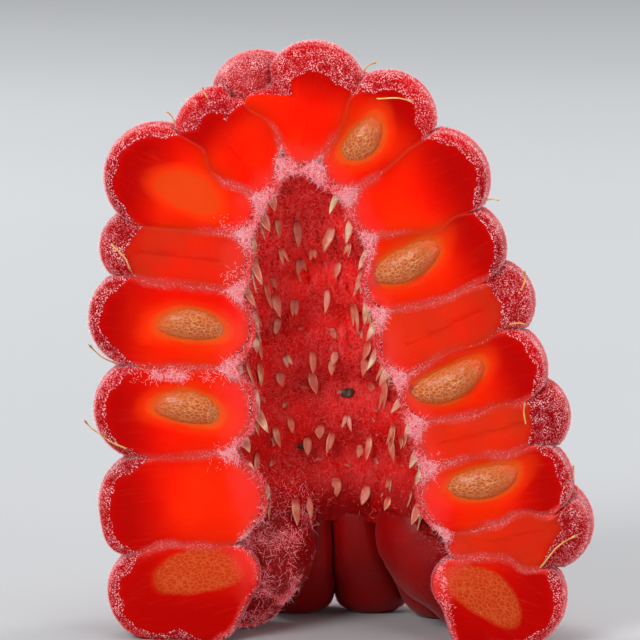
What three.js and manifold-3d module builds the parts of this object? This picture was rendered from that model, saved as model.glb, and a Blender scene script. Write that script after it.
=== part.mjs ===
// Half a raspberry, cut lengthwise through the hollow that its core left, standing on its open end.
// Millimetres, +Z up. The cut face looks along -Y. The origin is on the surface, under the middle of the half.
//
// The fruit is one body: drupelets grown together round a tapering hollow, with the small pale pegs that held
// them to the core. The stones that the knife laid bare sit in the cut drupelets, each a solid of its own.
import * as THREE from "three";
import { mergeVertices } from "three/addons/utils/BufferGeometryUtils.js";
import Module from "manifold-3d";

const wasm = await Module();
wasm.setup();
const { Manifold, Mesh: SolidMesh } = wasm;

// ---- Driving dimensions -------------------------------------------------------------------------------

const CUT_Y = -4.0; // plane of the cut
const AXIS_Y = CUT_Y + 0.4; // the knife passed this much in front of the fruit's own axis
const AXIS_X_AT_BASE = 0.2; // the axis leans to the left as it rises
const AXIS_LEAN = -0.1; // x per z

// Drupelets are round cones: a wide ball on the outside, joined to a narrow one at the hollow.
// OUTER is the dome that the wide balls' centres lie on, INNER the one for the narrow balls.
const OUTER = { radius: 6.25, widestZ: 4.5, topZ: 18.9, footDepth: 8.0 };
const INNER = { radius: 4.0, topZ: 17.0, power: 3, lowZ: 1.2, crowding: 0.84 };
const FULL_RADIUS = 1.8; // wide ball of a drupelet away from the cut
const SPACING = 3.4; // what neighbouring wide balls press for; they end up a little closer
const FLATTENED = 0.2; // the fruit's weight presses this much off the bottom row's wide balls
const FOOT_Z = FULL_RADIUS - FLATTENED;
const CLEAR_OF_CUT = 2.0; // uncut drupelets keep their wide balls this far behind the cut

// The bottom row hangs free like a skirt, and the two at its ends lean into the hollow. wide and narrow are
// each a ball's bearing, in degrees from +X round the back, and how far out from the axis it lies.
const HANGING = [
  { wide: [30, 5.1], fat: 1.8, narrow: [45, 3.5], innerZ: 4.0 },
  { wide: [58, 5.8], fat: 1.8, narrow: [57, 4.5], innerZ: 4.5 },
  { wide: [85, 5.8], fat: 1.8, narrow: [85, 4.5], innerZ: 4.5 },
  { wide: [111, 5.8], fat: 1.8, narrow: [111, 4.5], innerZ: 4.5 },
  { wide: [146, 4.75], fat: 2.0, narrow: [136, 3.5], innerZ: 4.0 },
];
const HANGING_THIN = 1.25;

// Rows of uncut drupelets above it, up to the tip: height and how many.
const ROWS = [
  [4.2, 5],
  [6.9, 5],
  [9.6, 5],
  [12.2, 4],
  [14.6, 3],
  [16.8, 2],
];
const SETTLING_ROUNDS = 60; // passes that spread the rows evenly
const SETTLING_SHARE = 0.3; // of each overlap, taken up in one pass

// Drupelets that the knife met, from the open end up the left side and down the right one.
// outer and inner are [x, z] of the two balls; behind is how far each centre lies behind the cut.
const CUT_DRUPELETS = [
  { name: "left_1", outer: [-6.2, 1.6], fat: 1.8, inner: [-3.85, 2.3], thin: 1.1, behind: [0.9, 0.4] },
  { name: "left_2", outer: [-6.5, 4.6], fat: 1.8, inner: [-3.9, 4.85], thin: 1.3, behind: [0.95, 0.4] },
  { name: "left_3", outer: [-6.7, 7.8], fat: 1.75, inner: [-4.2, 7.9], thin: 1.25, behind: [0.95, 0.4] },
  { name: "left_4", outer: [-6.9, 10.9], fat: 1.7, inner: [-4.2, 10.65], thin: 1.2, behind: [0.9, 0.4] },
  { name: "left_5", outer: [-6.9, 13.25], fat: 1.35, inner: [-4.1, 12.95], thin: 1.05, behind: [1.15, 0.5] },
  { name: "left_6", outer: [-6.2, 15.65], fat: 1.85, inner: [-3.8, 14.75], thin: 0.95, behind: [0.9, 0.4] },
  { name: "left_7", outer: [-4, 17.05], fat: 1.7, inner: [-2.9, 15.85], thin: 0.75, behind: [0.9, 0.4] },
  { name: "tip_left", outer: [-2.9, 18.2], fat: 1.65, inner: [-2.2, 17.4], thin: 1.2, behind: [1.75, 1.6] },
  { name: "tip", outer: [-1.0, 18.5], fat: 1.75, inner: [-1.3, 16.85], thin: 0.75, behind: [1.0, 0.4] },
  { name: "right_8", outer: [1.45, 17.65], fat: 1.65, inner: [0.1, 16.15], thin: 0.8, behind: [0.9, 0.4] },
  { name: "right_7", outer: [3.15, 15.65], fat: 1.75, inner: [1.15, 14.65], thin: 0.85, behind: [0.9, 0.4] },
  { name: "right_6", outer: [3.8, 13.35], fat: 1.65, inner: [1.65, 12.2], thin: 0.95, behind: [0.9, 0.4] },
  { name: "right_5b", outer: [4.9, 11.5], fat: 1.5, inner: [2.15, 10.2], thin: 1.0, behind: [1.3, 0.5] },
  { name: "right_5", outer: [5.2, 9.3], fat: 1.65, inner: [2.95, 8.6], thin: 1.0, behind: [0.9, 0.4] },
  { name: "right_4b", outer: [6.15, 7.65], fat: 1.45, inner: [3.35, 6.9], thin: 0.85, behind: [1.35, 0.5] },
  { name: "right_4", outer: [6.05, 5.45], fat: 1.7, inner: [3.75, 5.05], thin: 1.15, behind: [0.9, 0.4] },
  { name: "right_3b", outer: [6.8, 4], fat: 1.6, inner: [4.3, 3.45], thin: 0.85, behind: [1.45, 0.5] },
  { name: "right_1", outer: [5.75, 1.6], fat: 1.8, inner: [4, 2.1], thin: 1.0, behind: [0.9, 0.4] },
];

// Stones laid bare by the knife: middle [x, z], length, turn up from +X in degrees, and how far they bow.
const STONES = [
  { name: "stone_left_1", at: [-4.85, 2.35], length: 2.5, turn: 8, bow: -0.12 },
  { name: "stone_left_3", at: [-5.2, 7.95], length: 2.5, turn: -8, bow: -0.15 },
  { name: "stone_left_4", at: [-5.1, 10.75], length: 2.6, turn: -4, bow: -0.15 },
  { name: "stone_left_6", at: [-5.15, 15.25], length: 2.3, turn: -25, bow: -0.12 },
  { name: "stone_right_8", at: [0.7, 17.05], length: 2.0, turn: 50, bow: 0.12 },
  { name: "stone_right_6", at: [2.2, 12.95], length: 2.6, turn: 28, bow: 0.12 },
  { name: "stone_right_5", at: [3.6, 8.95], length: 2.7, turn: 25, bow: 0.18 },
  { name: "stone_right_4", at: [4.75, 5.6], length: 2.7, turn: 14, bow: 0.15 },
  { name: "stone_right_1", at: [4.8, 1.8], length: 2.3, turn: -35, bow: -0.12 },
];
const STONE_WIDTH = 1.2; // up the cut face
const STONE_DEPTH = 1.1; // into the fruit
const STONE_BEHIND = 0.4; // its middle, behind the cut
const STONE_ROOM = 0.06; // gap round a stone in its pocket

const WALL_COVER = 0.5; // shared flesh between the narrow balls, inward of their centres

const SEAM_SIDE = 0.28; // side of the square notch that parts two cut drupelets, set on its corner
const SEAM_OVERRUN = 0.9; // how far a notch runs past the balls' centres at each end

const PEG = { length: 1.15, radius: 0.19, flatness: 0.6, lean: 0.3, depth: 0.65 };
const LOWEST_PEG_Z = 4.6; // nothing lower ever touched the core

// Facets: enough for round drupelets, few enough for a light solid.
const SIDES = 10;
const WIDE_STEPS = 3;
const NARROW_STEPS = 2;
const CORE_SIDES = 16;
const CORE_STEPS = 4;
const STONE_SIDES = 8;
const STONE_RINGS = 6;
const SLIVER = 0.02; // facets thinner than this are closed up

// ---- Solids -------------------------------------------------------------------------------------------

// A closed three.js geometry, placed by a matrix, as a solid that can be joined and cut.
function solidOf(geometry, matrix = new THREE.Matrix4()) {
  const bare = geometry.clone().applyMatrix4(matrix);
  bare.deleteAttribute("normal");
  bare.deleteAttribute("uv");
  const merged = mergeVertices(bare, 1e-4);
  const corners = [];
  for (let i = 0; i < merged.index.count; i += 3) {
    const [a, b, c] = [0, 1, 2].map((k) => merged.index.getX(i + k));
    if (a !== b && b !== c && c !== a) corners.push(a, b, c);
  }
  const vertProperties = new Float32Array(merged.attributes.position.array);
  return new Manifold(new SolidMesh({ numProp: 3, vertProperties, triVerts: new Uint32Array(corners) }));
}

// A solid as a named three.js mesh.
function meshOf(solid, name, material) {
  const { vertProperties, triVerts, numProp } = solid.getMesh();
  const positions = new Float32Array((vertProperties.length / numProp) * 3);
  for (let i = 0; i < positions.length / 3; i++) {
    positions.set(vertProperties.subarray(i * numProp, i * numProp + 3), i * 3);
  }
  const geometry = new THREE.BufferGeometry();
  geometry.setAttribute("position", new THREE.BufferAttribute(positions, 3));
  geometry.setIndex(new THREE.BufferAttribute(new Uint32Array(triVerts), 1));
  geometry.computeVertexNormals();
  const mesh = new THREE.Mesh(geometry, material);
  mesh.name = name;
  return mesh;
}

const axisX = (z) => AXIS_X_AT_BASE + AXIS_LEAN * z;

// ---- The two domes ------------------------------------------------------------------------------------

function outerRadius(z) {
  const reach = z > OUTER.widestZ ? OUTER.topZ - OUTER.widestZ : OUTER.footDepth;
  const share = Math.min(1, Math.abs(z - OUTER.widestZ) / reach);
  return OUTER.radius * Math.sqrt(1 - share * share);
}

function innerRadius(z) {
  const share = Math.min(1, Math.max(0, z / INNER.topZ));
  return INNER.radius * Math.sqrt(1 - share ** INNER.power);
}

// Puts a point back on the outer dome, at its own height and bearing, and clear of the cut.
function ontoDome(point) {
  const z = Math.min(OUTER.topZ - 0.3, Math.max(FOOT_Z, point.z));
  const bearing = Math.atan2(Math.max(point.y - AXIS_Y, 0.1), point.x - axisX(z));
  point.copy(round(outerRadius(z), bearing, z));
  point.y = Math.max(point.y, CUT_Y + CLEAR_OF_CUT);
}

// ---- Drupelets ----------------------------------------------------------------------------------------

function cutDrupelets() {
  return CUT_DRUPELETS.map(({ name, outer, fat, inner, thin, behind }) => ({
    name,
    wide: new THREE.Vector3(outer[0], CUT_Y + behind[0], outer[1]),
    fat,
    narrow: new THREE.Vector3(inner[0], CUT_Y + behind[1], inner[1]),
    thin,
  }));
}

// A point at a height and bearing, so far from the leaning axis.
function round(radius, bearing, z) {
  return new THREE.Vector3(axisX(z) + radius * Math.cos(bearing), AXIS_Y + radius * Math.sin(bearing), z);
}

function hangingDrupelets() {
  const at = ([bearing, out], z) => round(out, THREE.MathUtils.degToRad(bearing), z);
  return HANGING.map(({ wide, fat, narrow, innerZ }, i) => ({
    name: `hanging_${i + 1}`,
    wide: at(wide, fat - FLATTENED),
    fat,
    narrow: at(narrow, innerZ),
    thin: HANGING_THIN,
  }));
}

// The other uncut drupelets start in staggered rows and push each other apart until they lie evenly.
function upperDrupelets(placed) {
  const points = ROWS.flatMap(([z, count], row) =>
    Array.from({ length: count }, (_, i) => {
      const bearing = (Math.PI * (i + (row % 2 ? 0.25 : 0.75) + 0.25)) / (count + 0.5);
      return round(outerRadius(z), bearing, z);
    }),
  );
  const fixed = placed.map((d) => d.wide);
  for (let pass = 0; pass < SETTLING_ROUNDS; pass++) {
    for (const at of points) {
      const push = new THREE.Vector3();
      for (const other of [...fixed, ...points]) {
        const apart = at.distanceTo(other);
        if (other !== at && apart < SPACING) {
          push.addScaledVector(at.clone().sub(other), (SETTLING_SHARE * (SPACING - apart)) / apart);
        }
      }
      ontoDome(at.add(push));
    }
  }
  return points.map((wide, i) => {
    const z = INNER.lowZ + INNER.crowding * wide.z;
    const bearing = Math.atan2(wide.y - AXIS_Y, wide.x - axisX(wide.z));
    const radius = innerRadius(z);
    const narrow = round(radius, bearing, z);
    return { name: `back_${i + 1}`, wide, fat: FULL_RADIUS, narrow, thin: 0.7 + 0.1 * radius };
  });
}

// Outline of a round cone from the narrow ball's pole to the wide one's, for turning round its axis.
function roundCone(length, thin, fat) {
  const touch = -Math.asin((fat - thin) / length);
  const arc = (radius, centre, from, to, steps) =>
    Array.from({ length: steps + 1 }, (_, i) => {
      const angle = from + ((to - from) * i) / steps;
      return new THREE.Vector2(Math.abs(radius * Math.cos(angle)), centre + radius * Math.sin(angle));
    });
  const profile = [
    ...arc(thin, 0, -Math.PI / 2, touch, NARROW_STEPS),
    ...arc(fat, length, touch, Math.PI / 2, WIDE_STEPS),
  ];
  profile[0].x = 0;
  profile.at(-1).x = 0;
  return new THREE.LatheGeometry(profile, SIDES);
}

function drupeletSolid({ wide, fat, narrow, thin }) {
  const along = wide.clone().sub(narrow);
  const upright = new THREE.Vector3(0, 1, 0);
  const turn = new THREE.Quaternion().setFromUnitVectors(upright, along.clone().normalize());
  const place = new THREE.Matrix4().compose(narrow, turn, new THREE.Vector3(1, 1, 1));
  return solidOf(roundCone(along.length(), thin, fat), place);
}

// ---- The rest of the fruit ----------------------------------------------------------------------------

// Flesh that the drupelets share between them: a thick dome, open below, standing back from both surfaces.
function sharedFlesh() {
  const lowZ = 4.0;
  const wallInside = (z) => Math.max(0, innerRadius(z) - WALL_COVER);
  const wallOutside = (z) => Math.max(0, outerRadius(z) + 0.1);
  const heights = (top) =>
    Array.from({ length: CORE_STEPS + 1 }, (_, i) => {
      const quarter = (Math.PI / 2) * (i / CORE_STEPS);
      return lowZ + (top - lowZ) * Math.sin(quarter);
    });
  const profile = [
    ...heights(INNER.topZ).reverse().map((z) => new THREE.Vector2(wallInside(z), z)),
    ...heights(OUTER.topZ).map((z) => new THREE.Vector2(wallOutside(z), z)),
  ];
  profile[0].x = 0;
  profile.at(-1).x = 0;
  // A lathe turns about Y: stand it up, then lean it with the axis.
  const upright = new THREE.Matrix4().makeRotationX(Math.PI / 2);
  const leaning = new THREE.Matrix4();
  leaning.set(1, 0, AXIS_LEAN, AXIS_X_AT_BASE, 0, 1, 0, AXIS_Y, 0, 0, 1, 0, 0, 0, 0, 1);
  return solidOf(new THREE.LatheGeometry(profile, CORE_SIDES), leaning.multiply(upright));
}

// A flat pointed peg that hangs from a drupelet's inner end, out into the hollow and down.
function pegSolid({ narrow, thin }) {
  const inward = new THREE.Vector3(axisX(narrow.z) - narrow.x, AXIS_Y - narrow.y, 0).normalize();
  const foot = narrow.clone().addScaledVector(inward, thin * PEG.depth);
  const point = new THREE.Vector3(0, 0, -1).addScaledVector(inward, PEG.lean).normalize();
  const cone = new THREE.ConeGeometry(PEG.radius, PEG.length, 4).translate(0, PEG.length / 2, 0);
  cone.scale(1, 1, PEG.flatness);
  const across = new THREE.Vector3().crossVectors(point, inward).normalize();
  const frame = new THREE.Matrix4().makeBasis(across, point, new THREE.Vector3().crossVectors(across, point));
  return solidOf(cone, frame.setPosition(foot));
}

// The notch on the cut face between two neighbouring cut drupelets.
function seamNotch(a, b) {
  const middle = (p, q, rp, rq) => p.clone().lerp(q, rp / (rp + rq)).setY(CUT_Y);
  const from = middle(a.narrow, b.narrow, a.thin, b.thin);
  const to = middle(a.wide, b.wide, a.fat, b.fat);
  const along = to.clone().sub(from);
  const bar = new THREE.BoxGeometry(along.length() + 2 * SEAM_OVERRUN, SEAM_SIDE, SEAM_SIDE);
  bar.rotateX(Math.PI / 4).rotateY(-Math.atan2(along.z, along.x));
  return solidOf(bar, new THREE.Matrix4().setPosition(from.clone().lerp(to, 0.5)));
}

// ---- Stones -------------------------------------------------------------------------------------------

function stoneSolid({ at, length, turn, bow }, grow = 0) {
  const shape = new THREE.SphereGeometry(1, STONE_SIDES, STONE_RINGS).rotateZ(Math.PI / 2);
  shape.scale(length / 2 + grow, STONE_DEPTH / 2 + grow, STONE_WIDTH / 2 + grow);
  const position = shape.attributes.position;
  for (let i = 0; i < position.count; i++) {
    const share = position.getX(i) / (length / 2);
    position.setZ(i, position.getZ(i) + bow * (share * share - 0.3));
  }
  shape.rotateY(THREE.MathUtils.degToRad(-turn));
  return solidOf(shape, new THREE.Matrix4().makeTranslation(at[0], CUT_Y + STONE_BEHIND, at[1]));
}

// ---- Assembly -----------------------------------------------------------------------------------------

const cut = cutDrupelets();
const hanging = hangingDrupelets();
const drupelets = [...cut, ...hanging, ...upperDrupelets([...cut, ...hanging])];

function fruitSolid() {
  const room = 40;
  const inFront = solidOf(new THREE.BoxGeometry(room, room, room).translate(0, CUT_Y - room / 2, 0));
  const below = solidOf(new THREE.BoxGeometry(room, room, room).translate(0, 0, -room / 2));
  const knifed = CUT_DRUPELETS.map((_, i) => i).filter((i) => i > 0 && CUT_DRUPELETS[i].name !== "tip_left");
  const before = (i) => (cut[i - 1].name === "tip_left" ? cut[i - 2] : cut[i - 1]);
  const seams = knifed.map((i) => seamNotch(before(i), cut[i]));
  const pegs = drupelets.filter((d) => d.narrow.z > LOWEST_PEG_Z).map(pegSolid);
  const grown = Manifold.union([sharedFlesh(), ...drupelets.map(drupeletSolid)]).simplify(SLIVER);
  return Manifold.union([grown, ...pegs])
    .subtract(Manifold.union([inFront, below, ...seams, ...STONES.map((s) => stoneSolid(s, STONE_ROOM))]));
}

const flesh = new THREE.MeshStandardMaterial({ color: 0xd81a12, roughness: 0.35, metalness: 0 });
const stone = new THREE.MeshStandardMaterial({ color: 0xd9a25a, roughness: 0.6, metalness: 0 });

const raspberry = new THREE.Group();
raspberry.add(meshOf(fruitSolid(), "fruit", flesh));
for (const s of STONES) raspberry.add(meshOf(stoneSolid(s), s.name, stone));

export default raspberry;
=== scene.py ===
"""Half a raspberry, cut lengthwise, standing on its open end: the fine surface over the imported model.

Shapes are worked out in millimetres, in the frame of the CAD, and made in metres.
The cut face looks along -Y.
"""

import itertools
import math

import bpy
import numpy as np
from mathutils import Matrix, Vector


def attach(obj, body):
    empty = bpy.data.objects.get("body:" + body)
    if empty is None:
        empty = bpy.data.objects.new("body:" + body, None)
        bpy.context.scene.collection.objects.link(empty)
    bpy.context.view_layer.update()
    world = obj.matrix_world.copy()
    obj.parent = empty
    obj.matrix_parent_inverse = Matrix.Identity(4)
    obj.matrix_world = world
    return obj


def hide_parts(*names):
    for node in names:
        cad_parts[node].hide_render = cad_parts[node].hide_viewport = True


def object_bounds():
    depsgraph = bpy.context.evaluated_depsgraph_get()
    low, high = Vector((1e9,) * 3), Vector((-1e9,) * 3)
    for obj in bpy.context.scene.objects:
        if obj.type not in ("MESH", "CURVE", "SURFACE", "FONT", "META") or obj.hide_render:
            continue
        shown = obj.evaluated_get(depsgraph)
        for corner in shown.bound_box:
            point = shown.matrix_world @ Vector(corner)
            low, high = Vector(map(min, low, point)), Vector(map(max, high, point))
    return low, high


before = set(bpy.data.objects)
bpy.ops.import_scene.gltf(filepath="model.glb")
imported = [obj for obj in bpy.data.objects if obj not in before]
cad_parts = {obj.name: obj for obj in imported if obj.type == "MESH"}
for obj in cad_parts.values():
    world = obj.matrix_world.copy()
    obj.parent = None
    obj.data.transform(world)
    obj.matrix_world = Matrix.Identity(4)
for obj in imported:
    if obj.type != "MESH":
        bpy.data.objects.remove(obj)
cad_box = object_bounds()

MM = 0.001
UP = np.array([0.0, 0.0, 1.0])
INWARD = np.array([0.0, 1.0, 0.0])  # away from the cut face, into the fruit

# ---- The fruit's own dimensions, in millimetres, as in the CAD -----------------------------------

CUT_Y = -4.0  # plane of the cut
AXIS_Y = CUT_Y + 0.4  # the knife passed in front of the fruit's own axis
AXIS_X_AT_BASE, AXIS_LEAN = 0.2, -0.1  # the axis leans to the left as it rises

OUTER_RADIUS, OUTER_WIDEST_Z, OUTER_TOP_Z, OUTER_FOOT_DEPTH = 6.25, 4.5, 18.9, 8.0
INNER_RADIUS, INNER_TOP_Z, INNER_POWER, INNER_LOW_Z, INNER_CROWDING = 4.0, 17.0, 3, 1.2, 0.84
FULL_RADIUS = 1.8  # wide ball of a drupelet away from the cut
SPACING = 3.4  # what neighbouring wide balls press for
FLATTENED = 0.2  # the fruit's weight presses this much off the bottom row
FOOT_Z = FULL_RADIUS - FLATTENED
CLEAR_OF_CUT = 2.0  # uncut drupelets keep their wide balls this far behind the cut
TOP_MARGIN = 0.3  # and this far below the dome's top

# The hanging drupelets: wide ball's bearing and distance out, its radius, and the narrow one's bearing,
# distance out and height.
HANGING = (
    ((30, 5.1), 1.8, (45, 3.5), 4.0),
    ((58, 5.8), 1.8, (57, 4.5), 4.5),
    ((85, 5.8), 1.8, (85, 4.5), 4.5),
    ((111, 5.8), 1.8, (111, 4.5), 4.5),
    ((146, 4.75), 2.0, (136, 3.5), 4.0),
)
HANGING_THIN = 1.25  # narrow ball of each
ROWS = ((4.2, 5), (6.9, 5), (9.6, 5), (12.2, 4), (14.6, 3), (16.8, 2))  # uncut drupelets: height and how many
SETTLING_ROUNDS = 60  # passes that spread the rows evenly
SETTLING_SHARE = 0.3  # of each overlap, taken up in one pass

# Cut drupelets: name, outer ball (x, z), its radius, inner ball (x, z), its radius, how far each lies
# behind the cut, and how far the skin laps over the face at its outer end; 0 means that the knife missed it.
CUT = (
    ("left_1", (-6.2, 1.6), 1.8, (-3.85, 2.3), 1.1, (0.9, 0.4), 0.5),
    ("left_2", (-6.5, 4.6), 1.8, (-3.9, 4.85), 1.3, (0.95, 0.4), 0.45),
    ("left_3", (-6.7, 7.8), 1.75, (-4.2, 7.9), 1.25, (0.95, 0.4), 0.4),
    ("left_4", (-6.9, 10.9), 1.7, (-4.2, 10.65), 1.2, (0.9, 0.4), 0.42),
    ("left_5", (-6.9, 13.25), 1.35, (-4.1, 12.95), 1.05, (1.15, 0.5), 1),
    ("left_6", (-6.2, 15.65), 1.85, (-3.8, 14.75), 0.95, (0.9, 0.4), 0.36),
    ("left_7", (-4.0, 17.05), 1.7, (-2.9, 15.85), 0.75, (0.9, 0.4), 0.85),
    ("tip_left", (-2.9, 18.2), 1.65, (-2.2, 17.4), 1.2, (1.75, 1.6), 0),
    ("tip", (-1.0, 18.5), 1.75, (-1.3, 16.85), 0.75, (1.0, 0.4), 0.95),
    ("right_8", (1.45, 17.65), 1.65, (0.1, 16.15), 0.8, (0.9, 0.4), 0.6),
    ("right_7", (3.15, 15.65), 1.75, (1.15, 14.65), 0.85, (0.9, 0.4), 0.32),
    ("right_6", (3.8, 13.35), 1.65, (1.65, 12.2), 0.95, (0.9, 0.4), 0.3),
    ("right_5b", (4.9, 11.5), 1.5, (2.15, 10.2), 1.0, (1.3, 0.5), 1.05),
    ("right_5", (5.2, 9.3), 1.65, (2.95, 8.6), 1.0, (0.9, 0.4), 0.32),
    ("right_4b", (6.15, 7.65), 1.45, (3.35, 6.9), 0.85, (1.35, 0.5), 1.3),
    ("right_4", (6.05, 5.45), 1.7, (3.75, 5.05), 1.15, (0.9, 0.4), 0.3),
    ("right_3b", (6.8, 4.0), 1.6, (4.3, 3.45), 0.85, (1.45, 0.5), 1),
    ("right_1", (5.75, 1.6), 1.8, (4.0, 2.1), 1.0, (0.9, 0.4), 0.34),
)

# Bared stones: CAD node, middle (x, z), length, turn up from +X in degrees, bow, and how veiled by flesh
# it still is.
STONES = (
    ("stone_left_1", (-4.85, 2.35), 2.5, 8, -0.12, 0.5),
    ("stone_left_3", (-5.2, 7.95), 2.5, -8, -0.15, 0.1),
    ("stone_left_4", (-5.1, 10.75), 2.6, -4, -0.15, 0.15),
    ("stone_left_6", (-5.15, 15.25), 2.3, -25, -0.12, 0.9),
    ("stone_right_8", (0.7, 17.05), 2.0, 50, 0.12, 0.15),
    ("stone_right_6", (2.2, 12.95), 2.6, 28, 0.12, 0.05),
    ("stone_right_5", (3.6, 8.95), 2.7, 25, 0.18, 0.0),
    ("stone_right_4", (4.75, 5.6), 2.7, 14, 0.15, 0.1),
    ("stone_right_1", (4.8, 1.8), 2.3, -35, -0.12, 0.45),
)
STONE_WIDTH, STONE_DEPTH, STONE_BEHIND = 1.2, 1.1, 0.4
BOW_BASE = 0.3  # so that a bowed stone keeps its middle


def unit(v):
    """A vector, or each of many, made one long."""
    return v / (np.linalg.norm(v, axis=-1, keepdims=True) if v.ndim > 1 else np.linalg.norm(v))


def turned(x, z, degrees):
    """x and z of the cut plane, turned up from +X."""
    a = math.radians(degrees)
    return x * math.cos(a) - z * math.sin(a), x * math.sin(a) + z * math.cos(a)


def axis_x(z):
    return AXIS_X_AT_BASE + AXIS_LEAN * z


def outer_radius(z):
    reach = OUTER_TOP_Z - OUTER_WIDEST_Z if z > OUTER_WIDEST_Z else OUTER_FOOT_DEPTH
    share = min(1.0, abs(z - OUTER_WIDEST_Z) / reach)
    return OUTER_RADIUS * math.sqrt(1 - share * share)


def inner_radius(z):
    share = min(1.0, max(0.0, z / INNER_TOP_Z))
    return INNER_RADIUS * math.sqrt(1 - share**INNER_POWER)


def ring_point(radius, bearing, z):
    return np.array([axis_x(z) + radius * math.cos(bearing), AXIS_Y + radius * math.sin(bearing), z])


def on_dome(p):
    z = min(OUTER_TOP_Z - TOP_MARGIN, max(FOOT_Z, p[2]))
    bearing = math.atan2(max(p[1] - AXIS_Y, 0.1), p[0] - axis_x(z))
    q = ring_point(outer_radius(z), bearing, z)
    q[1] = max(q[1], CUT_Y + CLEAR_OF_CUT)
    return q


def settle(placed):
    """The upper uncut drupelets' wide balls, spread as in the CAD."""
    points = []
    for row, (z, count) in enumerate(ROWS):
        for i in range(count):
            bearing = math.pi * (i + (0.25 if row % 2 else 0.75) + 0.25) / (count + 0.5)
            points.append(ring_point(outer_radius(z), bearing, z))
    for _ in range(SETTLING_ROUNDS):
        for k, at in enumerate(points):
            push = np.zeros(3)
            for j, other in enumerate(placed + points):
                if j == k + len(placed):
                    continue
                apart = float(np.linalg.norm(at - other))
                if apart < SPACING:
                    push += (at - other) * (SETTLING_SHARE * (SPACING - apart) / apart)
            points[k] = on_dome(at + push)
    return points


# How much drupelets' sides may swell to meet their neighbours: uncut, cut, and in the cut row but whole.
SWELL, CUT_SWELL, WHOLE_SWELL = 0.55, 0.75, 0.25


class Drupelet:
    """A round cone from a narrow ball at the hollow to a wide one outside."""

    def __init__(self, name, wide, fat, narrow, thin, lap=None):
        self.name, self.wide, self.fat, self.narrow, self.thin, self.lap = name, wide, fat, narrow, thin, lap
        self.length = float(np.linalg.norm(wide - narrow))
        self.axis = (wide - narrow) / self.length
        self.cut = lap is not None
        self.knifed = bool(lap)  # tip_left stands just behind the cut, whole
        self.swell = CUT_SWELL if self.knifed else WHOLE_SWELL if self.cut else SWELL


def behind_cut(at, depth):
    return np.array([at[0], CUT_Y + depth, at[1]])


def all_drupelets():
    cut = [
        Drupelet(name, behind_cut(wide, depths[0]), fat, behind_cut(narrow, depths[1]), thin, lap)
        for name, wide, fat, narrow, thin, depths, lap in CUT
    ]
    hanging = []
    for i, (wide, fat, narrow, inner_z) in enumerate(HANGING):
        wide = ring_point(wide[1], math.radians(wide[0]), fat - FLATTENED)
        narrow = ring_point(narrow[1], math.radians(narrow[0]), inner_z)
        hanging.append(Drupelet(f"hanging_{i + 1}", wide, fat, narrow, HANGING_THIN))
    upper = []
    for i, p in enumerate(settle([d.wide for d in cut + hanging])):
        z = INNER_LOW_Z + INNER_CROWDING * p[2]
        r = inner_radius(z)
        bearing = math.atan2(p[1] - AXIS_Y, p[0] - axis_x(p[2]))
        upper.append(Drupelet(f"back_{i + 1}", p, FULL_RADIUS, ring_point(r, bearing, z), 0.7 + 0.1 * r))
    return cut + hanging + upper


DRUPELETS = all_drupelets()
KNIFED = [d for d in DRUPELETS if d.knifed]
NEARBY = 5.2  # drupelets whose wide balls lie closer than this may touch
NEAR = [[e for e in DRUPELETS if e is not d and np.linalg.norm(e.wide - d.wide) < NEARBY] for d in DRUPELETS]

# ---- Smooth fields -------------------------------------------------------------------------------


def smoothstep(lo, hi, x):
    t = np.clip((x - lo) / (hi - lo), 0.0, 1.0)
    return t * t * (3 - 2 * t)


def smooth_max(a, b, k):
    return np.maximum(a, b) + np.maximum(k - np.abs(a - b), 0.0) ** 2 / (4 * k)


def round_cone(p, d):
    """Signed distance from points to a drupelet's round cone, and each one's share of the way along it."""
    ba = d.wide - d.narrow
    l2 = float(ba @ ba)
    rr = d.thin - d.fat
    a2 = l2 - rr * rr
    pa = p - d.narrow
    y = pa @ ba
    z = y - l2
    across = pa * l2 - y[..., None] * ba
    x2 = np.einsum("...i,...i", across, across)
    y2 = y * y * l2
    z2 = z * z * l2
    k = math.copysign(1.0, rr) * rr * rr * x2
    past_wide = np.sign(z) * a2 * z2 > k
    before_narrow = np.sign(y) * a2 * y2 < k
    side = (np.sqrt(x2 * a2 / l2) + y * rr) / l2 - d.thin
    out = np.where(
        past_wide,
        np.sqrt(x2 + z2) / l2 - d.fat,
        np.where(before_narrow, np.sqrt(x2 + y2) / l2 - d.thin, side),
    )
    return out, y / l2


# left_2 has a sharp corner, low down outside, which left_1 makes room for.
CORNER = {"left_2": 0.42, "left_1": -0.3}
CORNER_AT, CORNER_SIZE = np.array([-7.55, 3.35]), 0.62


def swollen(p, d):
    """The round cone with its sides swollen, but not its two ends."""
    f, t = round_cone(p, d)
    if d.name in CORNER:
        away = ((p[..., [0, 2]] - CORNER_AT) ** 2).sum(axis=-1)
        near_cut = smoothstep(CUT_Y + 1.6, CUT_Y + 0.4, p[..., 1])
        f = f - CORNER[d.name] * np.exp(-away / CORNER_SIZE**2) * near_cut
    begins, full = (-0.3, 0.25) if d.cut else (-0.35, 0.1)
    return f - d.swell * smoothstep(begins, full, t) * (1 - smoothstep(0.45, 1.0, t))


SOFT_EDGE, CUT_SOFT_EDGE = 0.22, 0.09  # over which a side rounds into the wall shared with the next drupelet
FAR_OUTSIDE = 1e9


def nearest_of(p, drupelets):
    """The fields of some drupelets, the strongest at each point."""
    nearest = np.full(p.shape[:-1], FAR_OUTSIDE)
    for d in drupelets:
        nearest = np.minimum(nearest, swollen(p, d))
    return nearest


def field(p, i):
    """Below zero inside drupelet i, pressed against its neighbours."""
    own = swollen(p, DRUPELETS[i])
    shared = (own - nearest_of(p, NEAR[i])) / 2
    return smooth_max(own, shared, CUT_SOFT_EDGE if DRUPELETS[i].knifed else SOFT_EDGE)


LONGEST_RAY, RAY_STEPS = 4.2, 22


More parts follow.
